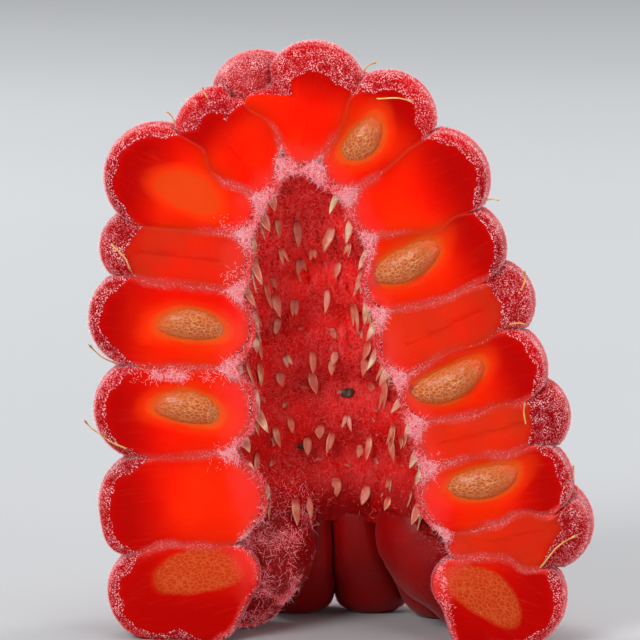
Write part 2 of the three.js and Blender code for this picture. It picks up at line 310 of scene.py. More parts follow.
def meet(origin, direction, lo, hi, steps, short):
    """How far along each ray, between lo and hi, short(points) stops being true, by halving."""
    for _ in range(steps):
        mid = (lo + hi) / 2
        before = short(origin + direction * mid[..., None])
        lo, hi = np.where(before, mid, lo), np.where(before, hi, mid)
    return (lo + hi) / 2


def ray_hit(origin, direction, i):
    """How far along each ray drupelet i's surface lies."""
    lo = np.zeros(origin.shape[:-1])
    return meet(origin, direction, lo, lo + LONGEST_RAY, RAY_STEPS, lambda p: field(p, i) < 0)


# ---- Noise ---------------------------------------------------------------------------------------


def hash3(ix, iy, iz, seed):
    n = (ix * 73856093) ^ (iy * 19349663) ^ (iz * 83492791) ^ (seed * 2654435761 & 0x7FFFFFFF)
    n = (n ^ (n >> 13)) * 1274126177 & 0x7FFFFFFF
    n = (n ^ (n >> 16)) & 0x7FFFFFFF
    return n / float(0x7FFFFFFF)


def noise(p, scale, seed=0):
    """Smooth value noise, -1 to 1, one cell per scale."""
    q = p / scale
    base = np.floor(q).astype(np.int64)
    f = q - base
    f = f * f * (3 - 2 * f)
    total = 0.0
    for corner in itertools.product((0, 1), repeat=3):
        w = 1.0
        for axis, far in enumerate(corner):
            w = w * (f[..., axis] if far else 1 - f[..., axis])
        total = total + w * hash3(*(base[..., axis] + corner[axis] for axis in range(3)), seed)
    return total * 2 - 1


# ---- Meshes --------------------------------------------------------------------------------------


class Build:
    """Gathers vertices, faces, per-face materials and per-vertex numbers for one Blender object."""

    def __init__(self):
        self.verts, self.faces, self.mats, self.attrs, self.count = [], [], [], {}, 0

    def add(self, verts, faces, mats=None, **attrs):
        """faces are index arrays (m, 3) or (m, 4); mats has an array for each, of a number for each face."""
        self.verts.append(verts)
        self.faces += [f + self.count for f in faces]
        self.mats += mats or [np.zeros(len(f)) for f in faces]
        for key in set(self.attrs) | set(attrs):
            value = attrs.get(key, np.zeros(len(verts)))
            self.attrs.setdefault(key, [np.zeros(self.count)] if self.count else []).append(value)
        self.count += len(verts)

    def make(self, name, *materials):
        mesh = bpy.data.meshes.new(name)
        verts = np.concatenate(self.verts) * MM
        mesh.vertices.add(len(verts))
        mesh.vertices.foreach_set("co", verts.astype(np.float32).ravel())
        sizes = np.concatenate([np.full(len(f), f.shape[1]) for f in self.faces])
        loops = np.concatenate([f.ravel() for f in self.faces])
        mesh.loops.add(len(loops))
        mesh.loops.foreach_set("vertex_index", loops.astype(np.int32))
        mesh.polygons.add(len(sizes))
        starts = np.concatenate([[0], np.cumsum(sizes)[:-1]])
        mesh.polygons.foreach_set("loop_start", starts.astype(np.int32))
        mesh.polygons.foreach_set("material_index", np.concatenate(self.mats).astype(np.int32))
        mesh.polygons.foreach_set("use_smooth", np.full(len(sizes), True))
        for key, parts in self.attrs.items():
            attribute = mesh.attributes.new(key, "FLOAT", "POINT")
            attribute.data.foreach_set("value", np.concatenate(parts).astype(np.float32))
        for material in materials:
            mesh.materials.append(material)
        mesh.update(calc_edges=True)
        mesh.validate()
        obj = bpy.data.objects.new(name, mesh)
        bpy.context.scene.collection.objects.link(obj)
        return obj


def ring_faces(rows, columns, flip=False):
    """Quads between rows of a grid that closes on itself across its columns."""
    r = np.arange(rows - 1)[:, None]
    c = np.arange(columns)[None, :]
    a = r * columns + c
    b = r * columns + (c + 1) % columns
    quads = np.stack([a, b, b + columns, a + columns], axis=-1).reshape(-1, 4)
    return quads[:, ::-1] if flip else quads


def fan_faces(row_start, columns, pole, flip=False):
    """Triangles from one row of such a grid to a pole."""
    c = np.arange(columns)
    tris = np.stack([row_start + c, row_start + (c + 1) % columns, np.full(columns, pole)], axis=-1)
    return tris[:, ::-1] if flip else tris


def capped_faces(rows, columns, flip=False):
    """All the faces of such a grid with a pole at each end, whose two vertices come last."""
    n = rows * columns
    return [
        ring_faces(rows, columns, flip),
        fan_faces(0, columns, n, not flip),
        fan_faces(n - columns, columns, n + 1, flip),
    ]


def ball_angles(rows, columns):
    """Angles from one pole to the other, both included, and round the axis between them."""
    return np.linspace(0, math.pi, rows + 2), np.linspace(0, 2 * math.pi, columns, endpoint=False)


def poles_last(grid):
    """A grid of points or numbers from pole to pole, as one list in the order of such a mesh's vertices."""
    return np.concatenate([grid[1:-1].reshape(-1, *grid.shape[2:]), grid[0, :1], grid[-1, :1]])


# ---- Scattering ----------------------------------------------------------------------------------


def triangles(faces):
    """Every face array as triangles."""
    split = [[f] if f.shape[1] == 3 else [f[:, [0, 1, 2]], f[:, [0, 2, 3]]] for f in faces]
    return np.concatenate([f for parts in split for f in parts])


def scatter(verts, tris, density, rng):
    """Random points over triangles, so many to a square millimetre, with their normals."""
    a, b, c = verts[tris[:, 0]], verts[tris[:, 1]], verts[tris[:, 2]]
    normal = np.cross(b - a, c - a)
    area = np.linalg.norm(normal, axis=1) / 2
    wanted = area * density
    total = float(wanted.sum())
    count = int(total)
    pick = rng.choice(len(tris), size=count, p=wanted / total)
    r1, r2 = np.sqrt(rng.random(count)), rng.random(count)
    w = np.stack([1 - r1, r1 * (1 - r2), r1 * r2], axis=-1)
    points = a[pick] * w[:, :1] + b[pick] * w[:, 1:2] + c[pick] * w[:, 2:]
    return points, normal[pick] / (2 * area[pick])[:, None]


FUZZ = []  # the hairs, added as surfaces are made: roots, directions, lengths and which fuzz they are
SKIN_FUZZ, HOLLOW_FUZZ, SEAM_FUZZ = 0, 1, 2
SKIN_DENSITY = 150.0  # hairs to a square millimetre
RIM_DENSITY = 90.0  # hairs to a millimetre of rim
ABOVE_FLOOR = 0.12  # no hair of the skin's grows lower


def grow_fuzz(points, directions, length, zone):
    FUZZ.append((points, directions, length, np.full(len(points), zone)))


def in_the_open(points, i):
    """Which points of a drupelet are outside its neighbours, and either outside the dome or near the cut."""
    radius = np.hypot(points[:, 0] - axis_x(points[:, 2]), points[:, 1] - AXIS_Y)
    outside = radius > np.array([outer_radius(z) + 0.1 for z in points[:, 2]])
    return (nearest_of(points, NEAR[i]) > 0.05) & (outside | (points[:, 1] < CUT_Y + 0.5))


def skin_fuzz(verts, tris, i, thicker=1.0):
    """Fuzz on the skin, thicker times as thick as elsewhere."""
    rng = np.random.default_rng(100 + i)
    points, normals = scatter(verts, tris, SKIN_DENSITY * thicker, rng)
    keep = in_the_open(points, i) & (points[:, 2] > ABOVE_FLOOR)
    points, normals = points[keep], normals[keep]
    grow_fuzz(points, normals, rng.uniform(0.12, 0.32, len(points)), SKIN_FUZZ)


def rim_fuzz(rim, outward, contact, t, merged, i):
    """Hairs along the cut edge of a skin: thick at its two ends, thin where it meets its neighbour."""
    rng = np.random.default_rng(300 + i)
    step = np.linalg.norm(np.roll(rim, -1, axis=0) - rim, axis=1)
    count = int(step.sum() * RIM_DENSITY)
    at = rng.choice(len(rim), size=count, p=step / step.sum())
    share = rng.random(count)[:, None]
    points = rim[at] * (1 - share) + rim[(at + 1) % len(rim)] * share
    out, met = outward[at], contact[at]
    directions = unit(out * 0.5 + rng.normal(size=(count, 3)) * 0.55 + np.array([0, -0.35, 0]))
    points = points - out * (rng.uniform(-0.02, 0.12, count) * (1 - 0.5 * met))[:, None]
    points[:, 1] += rng.uniform(-0.03, 0.02, count)
    clumps = np.clip(0.5 + 0.9 * noise(points, 0.6, 21), 0, 1)
    middle = met * smoothstep(-0.1, 0.15, t[at])
    inner = smoothstep(0.3, -0.05, t[at])
    corner = np.clip(3.2 * around(contact, 60) * (1 - contact), 0, 1)[at]
    open_rim = (0.35 + 0.65 * clumps) * (1 - inner) + (0.02 + 0.98 * corner) * inner
    wanted = open_rim * (1 - middle) + 0.07 * clumps**2 * middle * (1 - merged[at])
    keep = (points[:, 2] > 0.15) & (rng.random(count) < wanted)
    length = rng.uniform(0.07, 0.2, count) * (1 - 0.5 * middle) * (1 + 0.7 * inner * corner)
    grow_fuzz(points[keep], directions[keep], length[keep], SEAM_FUZZ)


# ---- Uncut drupelets -----------------------------------------------------------------------------

ROUND_ROWS, ROUND_COLUMNS = 40, 44
TIP_LEFT_FUZZ, BACK_FUZZ = 1.7, 0.68  # how thick the fuzz is on those that the knife missed
FUZZY_LOBE, LOBE_DENSITY = "hanging_5", 800.0  # the one at the left flank has hairs on its hollow side too


def core_point(d, cosine):
    """Where on the drupelet's axis a ray starts, by the cosine of its angle to the axis."""
    t = 0.5 + 0.5 * np.clip(2 * cosine, -1, 1)
    return d.narrow + t[..., None] * (d.wide - d.narrow)


def round_drupelet(build, i):
    d = DRUPELETS[i]
    beta, phi = ball_angles(ROUND_ROWS, ROUND_COLUMNS)
    side = unit(np.cross(d.axis, UP))
    ring = np.cos(phi)[:, None] * side + np.sin(phi)[:, None] * np.cross(side, d.axis)
    direction = np.cos(beta)[:, None, None] * d.axis + np.sin(beta)[:, None, None] * ring[None, :, :]
    origin = np.broadcast_to(core_point(d, np.cos(beta))[:, None, :], direction.shape)
    hit = origin + direction * ray_hit(origin, direction, i)[..., None]
    verts = poles_last(hit + direction * (0.012 * noise(hit, 0.45, 3))[..., None])
    faces = capped_faces(ROUND_ROWS, ROUND_COLUMNS, flip=True)
    t = (verts - d.narrow) @ d.axis / d.length
    verts[:, 2] = np.maximum(verts[:, 2], 0.0)
    from_axis = unit(np.stack([verts[:, 0] - axis_x(verts[:, 2]), verts[:, 1] - AXIS_Y], axis=-1))
    facing = unit(verts - (d.narrow + np.clip(t, 0, 1)[:, None] * (d.wide - d.narrow)))
    # The side facing the hollow: bare skin, which the skin material paints dark as shade.
    bare = smoothstep(0.25, -0.35, (facing[:, :2] * from_axis).sum(axis=1))
    build.add(verts, faces, bare=0.0 * bare if d.cut else bare)
    skin_fuzz(verts, triangles(faces), i, TIP_LEFT_FUZZ if d.cut else BACK_FUZZ)
    if d.name == FUZZY_LOBE:
        lobe_fuzz(verts, triangles(faces), i)


def lobe_fuzz(verts, tris, i):
    """Clumps of hairs on a hanging drupelet, towards the cut."""
    rng = np.random.default_rng(219)
    points, normals = scatter(verts, tris, LOBE_DENSITY, rng)
    near_cut = smoothstep(-1.0, -2.2, points[:, 0] + 0.5 * noise(points, 0.6, 35))
    near_cut = near_cut * smoothstep(0.0, -1.5, points[:, 1])
    clumps = np.clip(0.55 + 1.1 * noise(points, 0.55, 36), 0.08, 1.0)
    open_air = (nearest_of(points, NEAR[i]) > 0.0) & (points[:, 2] > 0.1)
    keep = (rng.random(len(points)) < near_cut * clumps) & open_air
    lean = unit(normals + rng.normal(size=points.shape) * 0.7)
    grow_fuzz(points[keep], lean[keep], rng.uniform(0.16, 0.4, len(points))[keep], SEAM_FUZZ)


# ---- Cut drupelets -------------------------------------------------------------------------------

CUT_COLUMNS = 140
FACE_INSETS = (0.0, 0.03, 0.07, 0.12, 0.18, 0.25, 0.34, 0.45)  # rings near the rim, in mm from it
FACE_RINGS = 8  # further in
BACK_ROWS = 13
RIM_TRY = 0.1  # the depth behind the cut where the rim is first looked for
MET_ROUND = 0.006  # the cut edge's rounding where two drupelets meet
TORN_LAP = 1.0  # where the skin laps this far over the flesh, the flesh is torn and duller
MERGED_LOW, MERGED_HIGH = 12.0, 13.4  # above this height the drupelets' flesh runs together
FACE, SKIN = 0, 1  # which of its two materials a cut drupelet's face has


def around(values, passes=2):
    """Evens out numbers round a closed rim."""
    for _ in range(passes):
        values = (np.roll(values, 1) + 2 * values + np.roll(values, -1)) / 4
    return values


def cut_drupelet(build, i):
    """A closed drupelet with a flat face on the cut: rings in from its rim, and rows back over its skin."""
    d = DRUPELETS[i]
    alpha = np.arange(CUT_COLUMNS) * 2 * math.pi / CUT_COLUMNS
    flat_axis = unit(np.array([d.axis[0], 0, d.axis[2]]))
    flat_side = np.array([-flat_axis[2], 0, flat_axis[0]])
    direction = np.cos(alpha)[:, None] * flat_axis + np.sin(alpha)[:, None] * flat_side
    core = core_point(d, np.cos(alpha))

    def rim_at(depth):
        start = core.copy()
        start[:, 1] = CUT_Y + depth
        reach = ray_hit(start, direction, i)
        return start, reach, start + direction * reach[:, None]

    # How the rim is, all round: touching its neighbours or free, rounded, lapped by skin.
    _, _, rim = rim_at(RIM_TRY)
    contact = around(smoothstep(0.16, 0.03, nearest_of(rim, NEAR[i]) - swollen(rim, d)))
    t_rim = (rim - d.narrow) @ d.axis / d.length
    outer_end = smoothstep(0.3, 0.85, t_rim)
    free = (0.12 + 0.88 * outer_end) * (1 - contact)
    depth = around((0.12 + 0.62 * d.lap) * free)
    width = around((0.2 + 0.95 * d.lap) * free + MET_ROUND * contact)
    merged = smoothstep(MERGED_LOW, MERGED_HIGH, rim[:, 2]) * smoothstep(0.15, 0.35, t_rim)
    pink = np.clip((0.55 + 0.75 * noise(rim, 0.9, 70)) * (1 - merged), 0, 1)
    flat_core, reach, rim = rim_at(depth)
    ragged = (0.05 * noise(rim, 0.18, 40 + i) + 0.09 * noise(rim, 0.6, 60 + i)) * (1 - 0.8 * contact)
    band = around((0.9 * d.lap * outer_end + 0.02) * (1 - contact) - 0.12 * contact, 5) + ragged

    # The face, from the rim in to the middle line.
    rings = np.array(FACE_INSETS) * (1 + 1.6 * d.lap)
    radii = [np.maximum(reach - ring, 0.0) for ring in rings]
    radii += [radii[-1] * (1 - (k + 1) / FACE_RINGS) for k in range(FACE_RINGS)]
    rows, insets, skins = [], [], []
    for r in radii:
        p = flat_core + direction * r[:, None]
        inset = reach - r
        x = np.clip(1 - inset / width, 0, 1)
        p[:, 1] = CUT_Y + depth * (1 - np.sqrt(1 - x * x)) + face_relief(p)
        rows.append(p)
        insets.append(inset)
        skins.append(np.clip(band - inset, -0.5, 0.5))

    # The skin, from the rim round behind to a pole.
    middle = (d.wide + d.narrow) / 2
    start = unit(rim - core)
    angle = np.arccos(np.clip(start @ INWARD, -1, 1))
    skin = []
    for k in range(1, BACK_ROWS):
        v = k / BACK_ROWS
        v = v * (0.55 + 0.45 * v)
        w0, w1 = np.sin((1 - v) * angle) / np.sin(angle), np.sin(v * angle) / np.sin(angle)
        dirs = w0[:, None] * start + w1[:, None] * INWARD
        origin = core + (middle - core) * v**1.5
        skin.append(origin + dirs * ray_hit(origin, dirs, i)[:, None])
    pole = middle + INWARD * ray_hit(middle[None], INWARD[None], i)[0]

    verts = np.concatenate(rows[::-1] + skin + [pole[None]])
    n_rows = len(rows) + len(skin)
    grid = ring_faces(n_rows, CUT_COLUMNS)
    cap = fan_faces((n_rows - 1) * CUT_COLUMNS, CUT_COLUMNS, n_rows * CUT_COLUMNS)
    # The middle line's points meet in pairs: one side takes the other's, and each end has only one.
    first = np.arange(CUT_COLUMNS)
    first = np.minimum(first, -first % CUT_COLUMNS)
    first = np.where(np.cos(alpha) > 0.5, 0, first)
    first = np.where(np.cos(alpha) < -0.5, CUT_COLUMNS // 2, first)
    same_as = np.concatenate([first, np.arange(CUT_COLUMNS, len(verts))])
    is_face = np.arange(len(grid)) < (len(rows) - 1) * CUT_COLUMNS
    faces, used, mats = tidy_faces(same_as[grid], cap, len(verts), is_face)

    def on_face(rings, behind):
        """Numbers for the face's rings from the middle out, and one for all the rest."""
        return np.concatenate([*rings, np.full(len(verts) - CUT_COLUMNS * len(rows), behind)])[used]

    lapped = on_face(skins[::-1], 0.5)
    inset = on_face(insets[::-1], -1.0)
    met, touch = (on_face([ring] * len(rows), 0.0) for ring in (pink, contact))
    verts = verts[used]
    verts[:, 2] = np.maximum(verts[:, 2], 0.0)
    out = verts - d.narrow
    build.add(
        verts,
        faces,
        mats,
        along=out @ d.axis / d.length,
        across=out @ np.cross(d.axis, INWARD) + 5.0 * i,
        torn=np.full(len(verts), float(d.lap >= TORN_LAP)),
        inset=inset,
        skin=lapped,
        met=met,
        touch=touch,
        **nearest_stone(verts),
    )
    skin_fuzz(verts, triangles([f[m == SKIN] for f, m in zip(faces, mats)]), i)
    face = triangles([f[m == FACE] for f, m in zip(faces, mats)])
    banded = face[lapped[face].min(axis=1) > 0.0]
    if len(banded):
        skin_fuzz(verts, banded, i)
    rim_fuzz(rim, direction, contact, t_rim, merged, i)


def tidy_faces(grid, cap, count, is_face):
    """Splits quads that lost a corner into triangles, drops empty ones and unused vertices."""
    same = grid == np.roll(grid, -1, axis=1)
    one = same.sum(axis=1) == 1
    lost = np.argmax(same[one], axis=1)[:, None]
    tris = np.take_along_axis(grid[one], (lost + [1, 2, 3]) % 4, axis=1)
    # A quad folded on itself, with its far corners the same, has no area.
    folded = (grid[:, 0] == grid[:, 2]) | (grid[:, 1] == grid[:, 3])
    whole = ~same.any(axis=1) & ~folded
    faces = [grid[whole], tris, cap]
    used = np.unique(np.concatenate([f.ravel() for f in faces]))
    remap = np.full(count, -1)
    remap[used] = np.arange(len(used))
    mats = [np.where(is_face[whole], FACE, SKIN), np.where(is_face[one], FACE, SKIN), np.full(len(cap), SKIN)]
    return [remap[f] for f in faces], used, mats


FAR_FROM_STONES = 9.0
STONE_REACH = 1.0  # stones show on flesh no further behind the cut


def nearest_stone(p):
    """In the nearest stone's frame: mm along it and up its width, how far, 1 at its edge, and its veil."""
    best = np.full(len(p), FAR_FROM_STONES)
    along, up, veil = np.zeros(len(p)), np.zeros(len(p)), np.zeros(len(p))
    for _, (cx, cz), length, turn, bow, veiled in STONES:
        x, z = turned(p[:, 0] - cx, p[:, 2] - cz, -turn)
        u = x / (length / 2)
        v = (z - bow * (u * u - BOW_BASE)) / (STONE_WIDTH / 2)
        r = np.sqrt(u * u + v * v)
        closer = (r < best) & (p[:, 1] < CUT_Y + STONE_REACH)
        best = np.where(closer, r, best)
        along = np.where(closer, u * length / 2, along)
        up = np.where(closer, v * STONE_WIDTH / 2, up)
        veil = np.where(closer, veiled, veil)
    return {"stone_u": along, "stone_v": up, "stone_r": best, "stone_veil": veil}


DISH = 0.07  # the flesh sinks this far round a bared stone


def face_relief(p):
    """The cut flesh isn't flat: it ripples a little, and sinks round each stone."""
    stone = nearest_stone(p)
    dish = DISH * (1 - smoothstep(0.95, 1.5, stone["stone_r"])) * (1 - stone["stone_veil"])
    ripple = 0.012 * noise(p, 0.5, 7) + 0.022 * noise(p, 1.3, 8)
    return np.maximum(ripple, -0.03) + dish


# ---- Flesh that the drupelets share --------------------------------------------------------------

LINING_LOW = 3.6  # the wall of the hollow reaches down over the hanging drupelets to here
DOME_START = 13.0  # above this height its rays fan up from the axis
WALL_FRONT = 0.055  # the shared flesh keeps this far behind the cut
WALL_THICK, LOW_THICK, LOW_BELOW = 0.6, 0.7, 4.3  # at least so thick, and just so thick below a height
SIDE_MARGIN, DOME_MARGIN, NEAR_MARGIN = 0.4, 0.9, 0.3  # it stays this far inside the outer dome
WALL_COLUMNS, WALL_ROWS, DOME_ROWS = 110, 130, 36
WALL_STEPS = 14  # of halving
EDGE_SINK = 0.35  # its lower edge goes so far into the drupelets
KNIT = 3.0  # the higher, the less the drupelets' inner ends run into one another
KNIT_OUT = 0.04  # and the flesh they share lies this much deeper over them
HOLLOW_DENSITY, POCKET_DENSITY = 330.0, 1300.0


def knit(p):
    """A smooth union of all drupelets."""
    total = 0.0
    for d in DRUPELETS:
        total = total + np.exp(-KNIT * np.maximum(swollen(p, d) - KNIT_OUT, -4.0))
    return -np.log(np.maximum(total, 1e-12)) / KNIT


def wall_row(z):
    """The row of the wall's grid at a height below the dome."""
    return (z - LINING_LOW) / (DOME_START - LINING_LOW) * (WALL_ROWS - 1)


def wall_mesh():
    """The flesh that the drupelets share, closed, and the grid of its inner face, the wall of the hollow."""
    bearing = np.linspace(0, math.pi, WALL_COLUMNS)
    heights = np.concatenate([np.linspace(LINING_LOW, DOME_START, WALL_ROWS), np.full(DOME_ROWS, DOME_START)])
    tilt = np.concatenate([np.zeros(WALL_ROWS), np.linspace(0, math.pi / 2, DOME_ROWS + 1)[1:]])
    origin = np.stack([axis_x(heights), np.full(len(heights), AXIS_Y), heights], axis=-1)
    flat = np.stack([np.cos(bearing), np.sin(bearing), np.zeros(WALL_COLUMNS)], axis=-1)
    up = np.array([AXIS_LEAN, 0, 1.0])
    direction = np.cos(tilt)[:, None, None] * flat + np.sin(tilt)[:, None, None] * up
    origin = np.broadcast_to(origin[:, None, :], direction.shape)

    # How far the outer dome lies, to stop short of the drupelets' outer ends.
    side = np.array([outer_radius(z) for z in heights]) - SIDE_MARGIN
    rise = OUTER_TOP_Z - DOME_MARGIN - DOME_START
    reach = 1 / np.sqrt((np.cos(tilt) / side) ** 2 + (np.sin(tilt) / rise) ** 2)
    lo = np.zeros(direction.shape[:2])
    furthest = lo + reach[:, None] - NEAR_MARGIN
    near = meet(origin, direction, lo, furthest, WALL_STEPS, lambda p: knit(p) >= 0)
    inner = origin + direction * near[..., None]
    lumps = 0.09 * noise(inner, 0.75, 31) + 0.05 * noise(inner, 0.3, 32) + 0.03 * noise(inner, 0.14, 33)
    lumps = np.minimum(lumps, 0.03) * (1 - 0.7 * smoothstep(4.5, 3.0, inner[..., 2]))
    sink = EDGE_SINK * smoothstep(LINING_LOW + 0.9, LINING_LOW, inner[..., 2])
    inner = inner + direction * (lumps + sink)[..., None]
    low = (heights < LOW_BELOW)[:, None]
    far = np.where(low, near + LOW_THICK, np.maximum(near + WALL_THICK, reach[:, None]))
    at_the_cut = smoothstep(0.3, 0.05, np.sin(bearing)) * ~low  # there it keeps clear of the stones
    outer = origin + direction * (far + (near + WALL_THICK - far) * at_the_cut)[..., None]

    # One more column at each end brings both faces forward to the cut.
    def to_the_cut(points):
        points[..., 1] = np.maximum(points[..., 1], CUT_Y + WALL_FRONT)
        ends = points[:, [0, -1]].copy()
        ends[..., 1] = CUT_Y + WALL_FRONT
        return np.concatenate([ends[:, :1], points, ends[:, 1:]], axis=1)

    inner, outer = to_the_cut(inner), to_the_cut(outer)
    rows, columns = inner.shape[:2]
    grid = np.concatenate([outer, inner[::-1]]).reshape(-1, 3)
    r = np.arange(2 * rows)[:, None]
    c = np.arange(columns - 1)[None, :]
    a = (r * columns + c).ravel()
    down = ((r + 1) % (2 * rows) * columns + c).ravel()
    quads = np.stack([a, down, down + 1, a + 1], axis=-1)
    k = np.arange(rows - 1)
    m = 2 * rows - 1 - k
    end = np.stack([k, k + 1, m - 1, m], axis=-1) * columns
    ends = [end, (end + columns - 1)[:, ::-1]]
    build = Build()
    build.add(grid, [quads, *ends])
    inner_faces = quads[(quads >= rows * columns).all(axis=1)]
    wall_fuzz(grid, inner_faces, np.concatenate(ends))
    return build.make("fruit_shared_flesh", M_WALL), inner


def wall_fuzz(verts, inner_faces, pockets):
    """A mat of short hairs on the wall of the hollow, and on the shared flesh between cut drupelets."""
    rng = np.random.default_rng(77)
    points, normals = scatter(verts, triangles([inner_faces]), HOLLOW_DENSITY, rng)
    clumps = 0.5 + 0.5 * noise(points, 0.7, 51) + 0.35 * noise(points, 0.28, 52)
    edge = smoothstep(CUT_Y + 2.2, CUT_Y + 0.3, points[:, 1] + 0.5 * noise(points, 1.1, 53))
    left = smoothstep(6.5, 4.0, points[:, 2]) * smoothstep(-0.5, -1.5, points[:, 0])
    wanted = np.maximum(0.3 + 0.7 * edge, left) * (0.25 + 0.75 * clumps)
    keep = rng.random(len(points)) < wanted * (0.3 + 0.7 * smoothstep(3.8, 5.5, points[:, 2] + 2 * left))
    points, normals = points[keep], normals[keep]
    lean = unit(normals * 0.55 + rng.normal(size=points.shape) * 0.6)
    pink = rng.random(len(points)) < 0.75 * np.maximum(edge[keep] * (points[:, 0] < 0), left[keep])
    length = rng.uniform(0.1, 0.27, len(points))
    grow_fuzz(points[~pink], lean[~pink], length[~pink], HOLLOW_FUZZ)
    grow_fuzz(points[pink], lean[pink], length[pink], SEAM_FUZZ)
    points, normals = scatter(verts, triangles([pockets]), POCKET_DENSITY, rng)
    fields = np.sort([swollen(points, d) for d in KNIFED], axis=0)
    beside_seam = smoothstep(0.8, 0.2, fields[1] - fields[0])
    keep = (fields[0] > -0.03) & (rng.random(len(points)) < 0.12 + 0.88 * beside_seam)
    points, normals = points[keep], normals[keep]
    lean = unit(normals * 0.6 + rng.normal(size=points.shape) * 0.55)
    grow_fuzz(points, lean, rng.uniform(0.1, 0.36, len(points)), SEAM_FUZZ)


# Patches of torn, fuzzy membrane on the cut: middle (x, z), half its size, turn in degrees, number of hairs.
PATCHES = (
    ((-5.35, 9.1), (1.5, 0.3), 2, 1500),
    ((-4.0, 6.35), (0.55, 0.4), 40, 500),
    ((-3.75, 14.15), (0.45, 0.35), 30, 450),
    ((-3.55, 12.25), (0.4, 0.5), 0, 450),
    ((-0.6, 15.35), (0.7, 0.2), 15, 350),
    ((3.5, 1.75), (1.3, 0.14), 102, 900),
    ((2.5, 9.3), (0.5, 0.22), 60, 300),
    ((3.2, 6.0), (0.6, 0.2), 75, 300),
)
PATCH_SUNK = 0.02  # the roots lie this far behind the cut
PATCH_SPREAD, PATCH_LIFT = np.array([1.0, 0.35, 1.0]), 0.3  # the hairs lie flat, a little lifted


def patch_fuzz():
    """Hairs that lie about on the cut, thickest in the middle of each patch."""
    rng = np.random.default_rng(612)
    for (x, z), half_size, turn, count in PATCHES:
        spread = np.clip(rng.normal(size=(count, 2)) * 0.5, -1.2, 1.2) * np.array(half_size)
        across, rise = turned(*spread.T, turn)
        points = np.stack([x + across, np.full(count, CUT_Y + PATCH_SUNK), z + rise], axis=-1)
        lean = unit(rng.normal(size=(count, 3)) * PATCH_SPREAD - INWARD * PATCH_LIFT)
        held = nearest_of(points, KNIFED) < 0.0
        keep = held & (rng.random(count) < 0.35 + 1.1 * noise(points, 0.3, 34))
        grow_fuzz(points[keep], lean[keep], rng.uniform(0.08, 0.22, count)[keep], SEAM_FUZZ)


# ---- Stones --------------------------------------------------------------------------------------

VEIL_DEPTH = 0.45  # how much deeper a wholly veiled stone lies than in the CAD
BARED_OUT = 0.14  # how much further out a wholly bared one stands
BARED_BELOW = 0.4  # one more veiled than this doesn't
STONE_ROWS, STONE_COLUMNS = 48, 48
NET_PROUD = 0.035  # of the stone's own size
NET_CELLS, NET_STRETCH = 260, np.array([0.6, 1.0, 1.0])  # the net's cells are drawn out along the stone


def stone_mesh(stone):
    """A bowed, netted stone with a pole at each end."""
    build = Build()
    name, (cx, cz), length, turn, bow, veiled = stone
    beta, phi = ball_angles(STONE_ROWS, STONE_COLUMNS)
    u = np.cos(beta)[:, None] * np.ones(STONE_COLUMNS)
    v = np.sin(beta)[:, None] * np.sin(phi)
    w = np.sin(beta)[:, None] * np.cos(phi)
    local = np.stack([u * length / 2, w * STONE_DEPTH / 2, v * STONE_WIDTH / 2], axis=-1)
    net = stone_net(local, len(name) * 7 + int(10 * length))
    shape = local * (1 + NET_PROUD * net[..., None])
    share = shape[..., 0] / (length / 2)
    shape[..., 2] += bow * (share * share - BOW_BASE)
    behind = CUT_Y + STONE_BEHIND + VEIL_DEPTH * veiled - BARED_OUT * max(0.0, 1 - veiled / BARED_BELOW)
    x, z = turned(shape[..., 0], shape[..., 2], turn)
    verts = poles_last(np.stack([cx + x, behind + shape[..., 1], cz + z], axis=-1))
    outward = -1.0 if cx < -1 else 1.0  # its outer end is still veiled
    build.add(
        verts,
        capped_faces(STONE_ROWS, STONE_COLUMNS),
        edge=poles_last(np.sqrt(u * u + v * v) + 0.42 * u * outward + 0.5 * veiled),
        veiled=np.full(len(verts), veiled),
        stone_u=poles_last(local[..., 0]),
        stone_v=poles_last(local[..., 2]),
        stone_w=poles_last(local[..., 1]),
    )
    return build.make(name + "_fine", M_STONE)


def stone_net(p, seed):
    """The stone's raised net: 1 on its ridges and 0 in its pits, from the borders between scattered cells."""
    flat = p.reshape(-1, 3)
    seeds = unit(np.random.default_rng(seed).normal(size=(NET_CELLS, 3)))
    seeds *= np.array([abs(flat[:, 0]).max(), STONE_DEPTH / 2, STONE_WIDTH / 2])
    dist = np.sqrt((((flat[:, None, :] - seeds[None, :, :]) * NET_STRETCH) ** 2).sum(axis=2))
    nearest = np.sort(dist, axis=1)[:, :2]
    border = nearest[:, 1] - nearest[:, 0]
    return (1 - smoothstep(0.01, 0.06, border)).reshape(p.shape[:-1])


# ---- Fuzz and pegs -------------------------------------------------------------------------------

HAIR_RADIUS = 0.0105  # at its root
HAIR_DEPTH = 0.03  # how far its root is sunk
PROUD = np.array([0.25, 0.12, 0.28])  # the fuzz may stand this far out of the CAD's box
BOX_LOW, BOX_HIGH = (np.array(c) / MM for c in cad_box)
BOX_LOW, BOX_HIGH = BOX_LOW - PROUD, BOX_HIGH + PROUD


